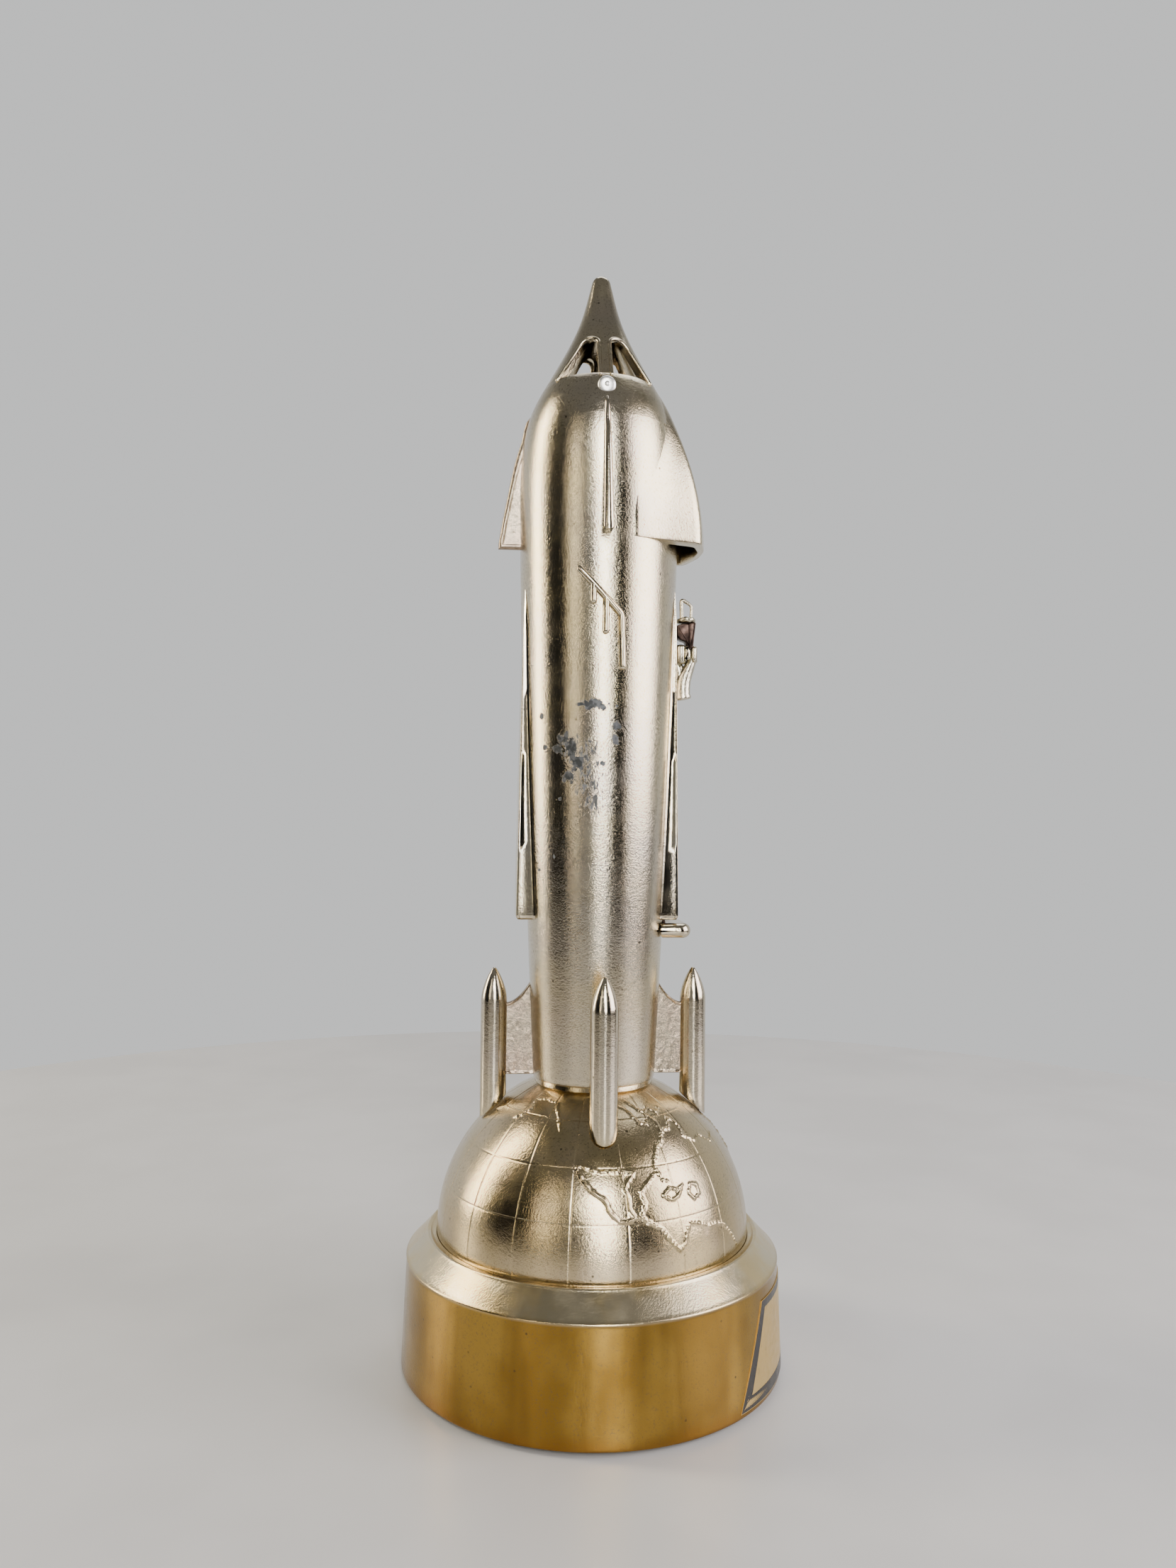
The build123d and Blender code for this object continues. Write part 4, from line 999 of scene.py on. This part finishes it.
def rail_sections(hollow):
    rings = []
    for z, inset in [(RAIL_LOW_Z, 0.75), (RAIL_LOW_Z + 0.15, 0.35), (RAIL_LOW_Z + 0.6, 0.05)] + [
            (z, 0.0) for z in np.linspace(RAIL_LOW_Z + 1.2, RAIL_FADE_Z, 36)]:
        fade = min(max((RAIL_FADE_Z - z) / 16, 0), 1)
        half = RAIL_HALF * (0.45 + 0.55 * math.sqrt(fade)) - inset
        out = rail_edge(z) - inset - 0.35 * (1 - fade)
        flare = 1.9 * math.sqrt(fade)
        r = float(body_r(z)) - 0.15
        foot_y = min(half + flare + 0.25, 9.5)
        foot = np.array((math.sqrt(r * r - foot_y**2), foot_y))
        root_x = math.sqrt(r * r - half**2) + 0.5 * flare / 1.9
        root = np.array((min(root_x, out - 0.5), half))
        elbow = np.array((foot[0] + 0.55 * (root[0] - foot[0]), half + 0.12 * flare))
        side = [(1 - t) ** 2 * foot + 2 * t * (1 - t) * elbow + t * t * root for t in np.linspace(0, 1, 7)]
        gap = max(out - root[0], 0.3)
        side += [root + (0.12 * gap, -0.14), np.array((out - min(0.9, 0.3 * gap), half - 0.14)),
                 np.array((out - min(0.75, 0.22 * gap), half)), np.array((out - 0.22, half)),
                 np.array((out - 0.05, half - 0.07)), np.array((out, half - 0.25)),
                 np.array((out + 0.12, half * 0.5))]
        buried = []
        for y in (foot_y, half * 0.8, 2.8):
            buried.append(np.array((math.sqrt((r - 0.5) ** 2 - y * y), y)))
        if hollow:
            buried += [np.array((14.2, 2.79)), np.array((14.2, 1.0))]
        else:
            buried += [np.array((r - 0.55, 1.5)), np.array((r - 0.5, 0.5))]
        loop = buried[::-1] + side
        loop = [(x, -y) for x, y in loop] + [(x, y) for x, y in reversed(loop)]
        rings.append(np.array([(x, y, z) for x, y in loop]))
    return rings


def box_cutter(x0, x1, half, z0, z1):
    corners = [(x0, -half), (x1, -half), (x1, half), (x0, half)]
    return stack([np.array([(x, y, z) for x, y in corners], float) for z in (z0, z1)])


def make_rails():
    points, faces = stack(rail_sections(False))
    piece("left_rail", turned_about(points, 180), faces, plain_plate, stands_for=["left_strake"], angle=38)
    points, faces = stack(rail_sections(True))
    rail = piece("right_rail", points, faces, plain_plate, stands_for=["launch_rail"], angle=38)
    bore = [np.array([(ROD_X + 1.1 * math.cos(a), 1.1 * math.sin(a), z)
                      for a in circle_turns(20)]) for z in (105.0, 112.0)]
    cut(rail, box_cutter(ROD_X - 1.9, ROD_X + 1.9, 1.9, RAIL_LOW_Z + 1.5, 186.5),
        box_cutter(ROD_X, 22.0, 1.3, 171.3, 184.5), stack(bore))
    settle(rail, plain_plate, angle=38)


# ---------------------------------------------------------------- lever and launcher
def make_lever():
    """Wide thumb tab, round all along its edge and hollowed to the body."""
    low, high = box_mm("thumb_lever")
    reach, half, middle_z = high[0], high[1], (low[2] + high[2]) / 2
    thick = (high[2] - low[2]) / 2
    rings, lip = [], 0.35
    half_turn = np.linspace(-math.pi / 2, math.pi / 2, 15)
    for y in half * np.sin(np.linspace(-math.pi / 2, math.pi / 2, 41)):
        past = max(abs(y) - (half - 3.0), 0)
        out = reach - 3.0 + math.sqrt(max(9.0 - past * past, 0))
        near_end = max(abs(y) - (half - thick), 0)
        tall = max(math.sqrt(max(thick * thick - near_end**2, 0)), 0.05)
        inside = math.sqrt(17.35**2 - y * y)
        out = max(out, inside + 0.4)
        nose = min(tall, out - inside - 0.1)
        loop = [(inside, -tall + lip), (inside + lip * 0.3, -tall + lip * 0.3), (inside + lip, -tall)]
        loop += [(out - nose + nose * math.cos(a), tall * math.sin(a)) for a in half_turn]
        loop += [(inside + lip, tall), (inside + lip * 0.3, tall - lip * 0.3), (inside, tall - lip)]
        rings.append(np.array([(x, y, middle_z + dz) for x, dz in loop]))
    stem_outline = rounded([(15.4, 105.3), (18.4, 105.3), (18.4, 108.2), (15.4, 108.2)], 0.3, 3)
    piece("lever", *joined(stack(rings), plate(stem_outline, 1.2, 0.2)), plain_plate, body="launcher",
          stands_for=["thumb_lever"], angle=45)


def make_spring():
    """Coil spring in the main spring's place, running its full height."""
    low, high = box_mm("main_spring")
    centre, wire = (low + high) / 2, 0.28
    reach = (high[0] - low[0]) / 2 - wire
    rise = np.clip(np.linspace(-0.06, 1.06, 900), 0, 1)
    turns = np.linspace(0, 2 * math.pi * SPRING_TURNS, 900)
    path = np.stack([centre[0] + reach * np.cos(turns), centre[1] + reach * np.sin(turns),
                     low[2] + wire + rise * (high[2] - low[2] - 2 * wire)], 1)
    spring = piece("spring", *tube(path, wire, 8), dark_steel, stands_for=["main_spring"], angle=60)
    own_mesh(spring)


def make_launcher():
    """Dark block on the rail, bright flange and loop above it, split sleeve and boot below."""
    x = LAUNCHER_X
    block = rounded([(20.15, 184.2), (22.0, 184.75), (25.0, 184.9), (24.5, 180.0), (23.9, 178.0),
                     (22.7, 178.0), (22.5, 180.1), (21.0, 180.5), (20.25, 181.6)],
                    [0.3, 0.3, 0.3, 0.3, 0.2, 0.2, 0.5, 0.6, 0.3], 4)
    bar = rounded([(23.05, 185.0), (25.05, 185.0), (24.35, 178.4), (23.3, 178.4)], 0.25, 3)
    tongue = rounded([(17.0, 180.3), (20.4, 180.3), (20.4, 184.0), (17.0, 184.0)], 0.2, 2)
    wide_bar = plate(bar, 2.05, 0.35)
    piece("bracket", *joined(plate(block, 1.75, 0.4), wide_bar, plate(tongue, 1.1, 0.15)), dark_steel,
          body="launcher", stands_for=["launcher_bracket"], angle=40)

    ellipse = [(2.45 * math.cos(a), 3.1 * math.sin(a)) for a in circle_turns(48)]
    rings = []
    for z, scale in ((184.95, 0.86), (185.15, 0.97), (185.45, 1.0), (185.8, 1.0), (186.1, 0.95), (186.25, 0.8),
                     (186.2, 0.5)):
        rings.append(np.array([(x + 0.1 + scale * u, scale * v, z + 0.12 * math.sin(3 * u + v))
                               for u, v in ellipse]))
    loop = rounded([(x - 1.0, 186.0), (x - 1.15, 190.6), (x - 0.75, 191.0), (x + 0.9, 190.0), (x + 1.5, 189.4),
                    (x + 1.35, 186.0)], [0, 0.5, 0.5, 0.5, 0.7, 0], 5, closed=False)
    fine = resampled(loop, 0.3)
    widths = np.interp(fine[:, 0], [x - 1.1, x + 1.3], [0.46, 0.34])
    prongs = tube([(u, 0.0, z) for u, z in fine], widths * 1.15, 12)
    second = tube([(u + 0.12, 1.5, z) for u, z in fine[:len(fine) // 3]], 0.36, 10)
    piece("fork", *joined(stack(rings), prongs, second), launcher_plate, body="launcher",
          stands_for=["launcher_fork"], angle=50)

    def lobe(centre, radius, low, high, squeeze):
        parts = []
        for z, scale in ((low, 0.7), (low + 0.15, 0.92), (low + 0.5, 1.0), ((low + high) / 2, 0.98),
                         (high - 0.9, 1.0), (high - 0.4, 0.9), (high - 0.1, 0.65), (high, 0.3)):
            parts.append(np.array([(centre + scale * radius * math.cos(a), scale * squeeze * math.sin(a), z)
                                   for a in circle_turns(28)]))
        return stack(parts)

    ridge_line = [(x - 0.5, 174.9), (x + 1.2, 175.6), (x + 1.0, 178.0), (x - 0.3, 179.0)]
    ridge = plate(rounded(ridge_line, 0.25, 3), 2.3, 0.6)
    inner_lobe, outer_lobe = lobe(x - 1.35, 1.45, 174.4, 179.4, 2.4), lobe(x + 2.05, 1.0, 174.7, 179.1, 2.3)
    piece("sleeve", *joined(inner_lobe, outer_lobe, ridge), launcher_plate, body="launcher",
          stands_for=["launcher_sleeve"], angle=50)

    lean = [((24.3, 175.4), 1.2, 1.7), ((23.9, 174.2), 1.5, 1.75), ((23.2, 172.8), 1.85, 1.8),
            ((22.5, 171.2), 2.05, 1.85), ((22.1, 169.6), 2.0, 1.9), ((22.0, 167.8), 1.95, 1.9),
            ((22.0, 166.4), 1.95, 1.9), ((22.1, 165.9), 2.1, 2.05), ((22.1, 165.45), 2.1, 2.05),
            ((22.1, 165.2), 1.85, 1.8)]
    arm = stack([
        np.array([(cx + wide * math.cos(a), deep * math.sin(a), z + 0.18 * (cx + wide * math.cos(a) - 22))
                  for a in circle_turns(32)])
        for (cx, z), wide, deep in lean])
    brace = tube([(20.7, 0.0, 174.6), (21.1, 0.0, 173.6), (21.5, 0.0, 172.4), (21.7, 0.0, 170.6)],
                 [0.6, 0.75, 0.9, 0.9], 14, 1.6)
    piece("arm", *joined(arm, brace), launcher_plate, body="launcher", stands_for=["launcher_arm"], angle=50)


# ---------------------------------------------------------------- CAD nodes that stay in view
def keep_nodes():
    """Hidden works keep their CAD shape and get real finishes."""
    finishes = {
        dark_steel: ("firing_rod", "spring_seat", "lock_cam"),
        zinc_steel: ("base_plate", "trap_plate", "base_screws", "globe_screws", "body_lock_ring"),
        lock_brass: ("lock_barrel", "lock_plug")}
    for material, names in finishes.items():
        for name in names:
            node = NODES[name]
            for i in range(max(1, len(node.data.materials))):
                if node.data.materials:
                    node.data.materials[i] = material
                else:
                    node.data.materials.append(material)


# ---------------------------------------------------------------- room, light and camera
def room_surface():
    s = Shader("room")
    colour = s.mix(s.span(s.noise(60, 3), 0.35, 0.65, 0, 1), (0.50, 0.50, 0.50), (0.54, 0.54, 0.54))
    s.bump(s.noise(3.0, 3), 0.02)
    return s.finish(colour, 0.0, 0.32)


def make_floor():
    """Wide pale round floor."""
    turns = circle_turns(96)
    points = [(r * math.cos(t), r * math.sin(t), 0.0) for r in (20.0, 120.0, 260.0, 430.0) for t in turns]
    obj = mesh_object("floor", points, grid(4, 96, wrap_cols=True) + [tuple(range(96))])
    obj.data.materials.append(room_surface())


def softbox(name, bearing, distance, centre_z, wide, tall, power, colour):
    """Soft rectangular light that faces the bank and isn't itself seen."""
    data = bpy.data.lights.new(name, "AREA")
    data.shape = "RECTANGLE"
    data.size, data.size_y = wide, tall
    data.energy, data.color = power, colour
    lamp = bpy.data.objects.new(name, data)
    x, y = bearing_xy(bearing, distance)
    lamp.location = (x, y, centre_z)
    aim = Vector((0, 0, 0.14)) - lamp.location
    lamp.rotation_euler = aim.to_track_quat("-Z", "Y").to_euler()
    lamp.visible_camera = False
    bpy.context.scene.collection.objects.link(lamp)


SURROUND = (
    # bearing from the front, and how light the room is that way
    (-180, 0.72), (-110, 0.70), (-98, 0.55), (-84, 0.02), (-58, 0.01), (-42, 0.10), (-26, 0.24), (-6, 0.16),
    (10, 0.02), (40, 0.01), (54, 0.05), (84, 0.03), (96, 0.02), (106, 0.66), (180, 0.72))


def make_world():
    """Room of light and dark bands for the reflections; the camera itself sees a plain pale backdrop."""
    world = bpy.data.worlds.new("studio")
    world.use_nodes = True
    tree = world.node_tree
    place = tree.nodes.new("ShaderNodeTexCoord")
    split = tree.nodes.new("ShaderNodeSeparateXYZ")
    tree.links.new(place.outputs["Generated"], split.inputs[0])
    flip = add_node(tree, "ShaderNodeMath", operation="MULTIPLY")
    flip.inputs[1].default_value = -1.0
    tree.links.new(split.outputs["Y"], flip.inputs[0])
    turn = add_node(tree, "ShaderNodeMath", operation="ARCTAN2")
    tree.links.new(split.outputs["X"], turn.inputs[0])
    tree.links.new(flip.outputs[0], turn.inputs[1])
    share = tree.nodes.new("ShaderNodeMapRange")
    share.inputs["From Min"].default_value = -math.pi
    share.inputs["From Max"].default_value = math.pi
    tree.links.new(turn.outputs[0], share.inputs["Value"])
    ramp = tree.nodes.new("ShaderNodeValToRGB")
    ramp.color_ramp.interpolation = "EASE"
    stops = ramp.color_ramp.elements
    while len(stops) < len(SURROUND):
        stops.new(0.5)
    for stop, (bearing, _) in zip(stops, SURROUND):
        stop.position = (bearing + 180) / 360
    for stop, (_, light) in zip(stops, SURROUND):
        stop.color = (light, light, light * 0.995, 1)
    tree.links.new(share.outputs["Result"], ramp.inputs["Fac"])
    rise = add_node(tree, "ShaderNodeMapRange", interpolation_type="SMOOTHSTEP")
    rise.inputs["From Min"].default_value = 0.30
    rise.inputs["From Max"].default_value = 0.80
    tree.links.new(split.outputs["Z"], rise.inputs["Value"])
    blend = add_node(tree, "ShaderNodeMix", data_type="RGBA")
    tree.links.new(rise.outputs["Result"], blend.inputs[0])
    tree.links.new(ramp.outputs["Color"], blend.inputs[6])
    blend.inputs[7].default_value = (0.16, 0.158, 0.15, 1)
    seen = add_node(tree, "ShaderNodeMix", data_type="RGBA")
    tree.links.new(tree.nodes.new("ShaderNodeLightPath").outputs["Is Camera Ray"], seen.inputs[0])
    tree.links.new(blend.outputs[2], seen.inputs[6])
    seen.inputs[7].default_value = (0.64, 0.645, 0.645, 1)
    tree.links.new(seen.outputs[2], tree.nodes["Background"].inputs["Color"])
    tree.nodes["Background"].inputs["Strength"].default_value = 1.15
    bpy.context.scene.world = world


def make_lights():
    softbox("window", 4, 1.05, 0.46, 0.17, 0.9, 9.5, (1.0, 0.98, 0.95))
    softbox("window_right", 68, 0.95, 0.46, 0.72, 0.8, 15.0, (1.0, 0.93, 0.94))
    softbox("lamp", -104, 0.80, 0.44, 0.12, 0.8, 6.5, (1.0, 0.86, 0.62))
    softbox("lamp_left", -40, 1.0, 0.40, 0.05, 0.7, 1.2, (1.0, 0.88, 0.66))
    softbox("above", -4, 1.2, 0.78, 0.30, 0.26, 3.0, (1.0, 0.98, 0.95))
    softbox("ceiling", 160, 0.6, 1.4, 1.0, 0.7, 7.0, (0.97, 0.98, 1.0))


def make_camera():
    """The photo's view: low, near and looking very slightly up."""
    turn, tip, roll = math.radians(-5.2), 0.0259, math.radians(0.59)
    across = Vector((math.cos(turn), math.sin(turn), 0))
    ahead = Vector((-math.sin(turn), math.cos(turn), 0))
    up = Vector((0, 0, 1))
    look = ahead * math.cos(tip) + up * math.sin(tip)
    level_up = up * math.cos(tip) - ahead * math.sin(tip)
    camera_up = level_up * math.cos(roll) - across * math.sin(roll)
    data = bpy.data.cameras.new("camera")
    data.sensor_width, data.sensor_fit, data.lens, data.clip_start = 36, "AUTO", 26.365, 0.01
    camera = bpy.data.objects.new("camera", data)
    side = look.cross(camera_up)
    camera.rotation_euler = Matrix((side, camera_up, -look)).transposed().to_euler()
    camera.location = (across * -2.10 + ahead * -292.2 + up * 135.8) * MM
    bpy.context.scene.collection.objects.link(camera)
    bpy.context.scene.camera = camera


make_drum()
make_foot()
make_label()
make_globe()
half_shell("body_front", 0, "body_front_shell")
half_shell("body_back", 180, "body_back_shell")
make_nose()
make_rivet()
make_comb()
make_hood()
make_tail_fins()
make_boosters()
make_rails()
make_lever()
make_launcher()
make_spring()
keep_nodes()
make_floor()
make_world()
make_lights()
make_camera()
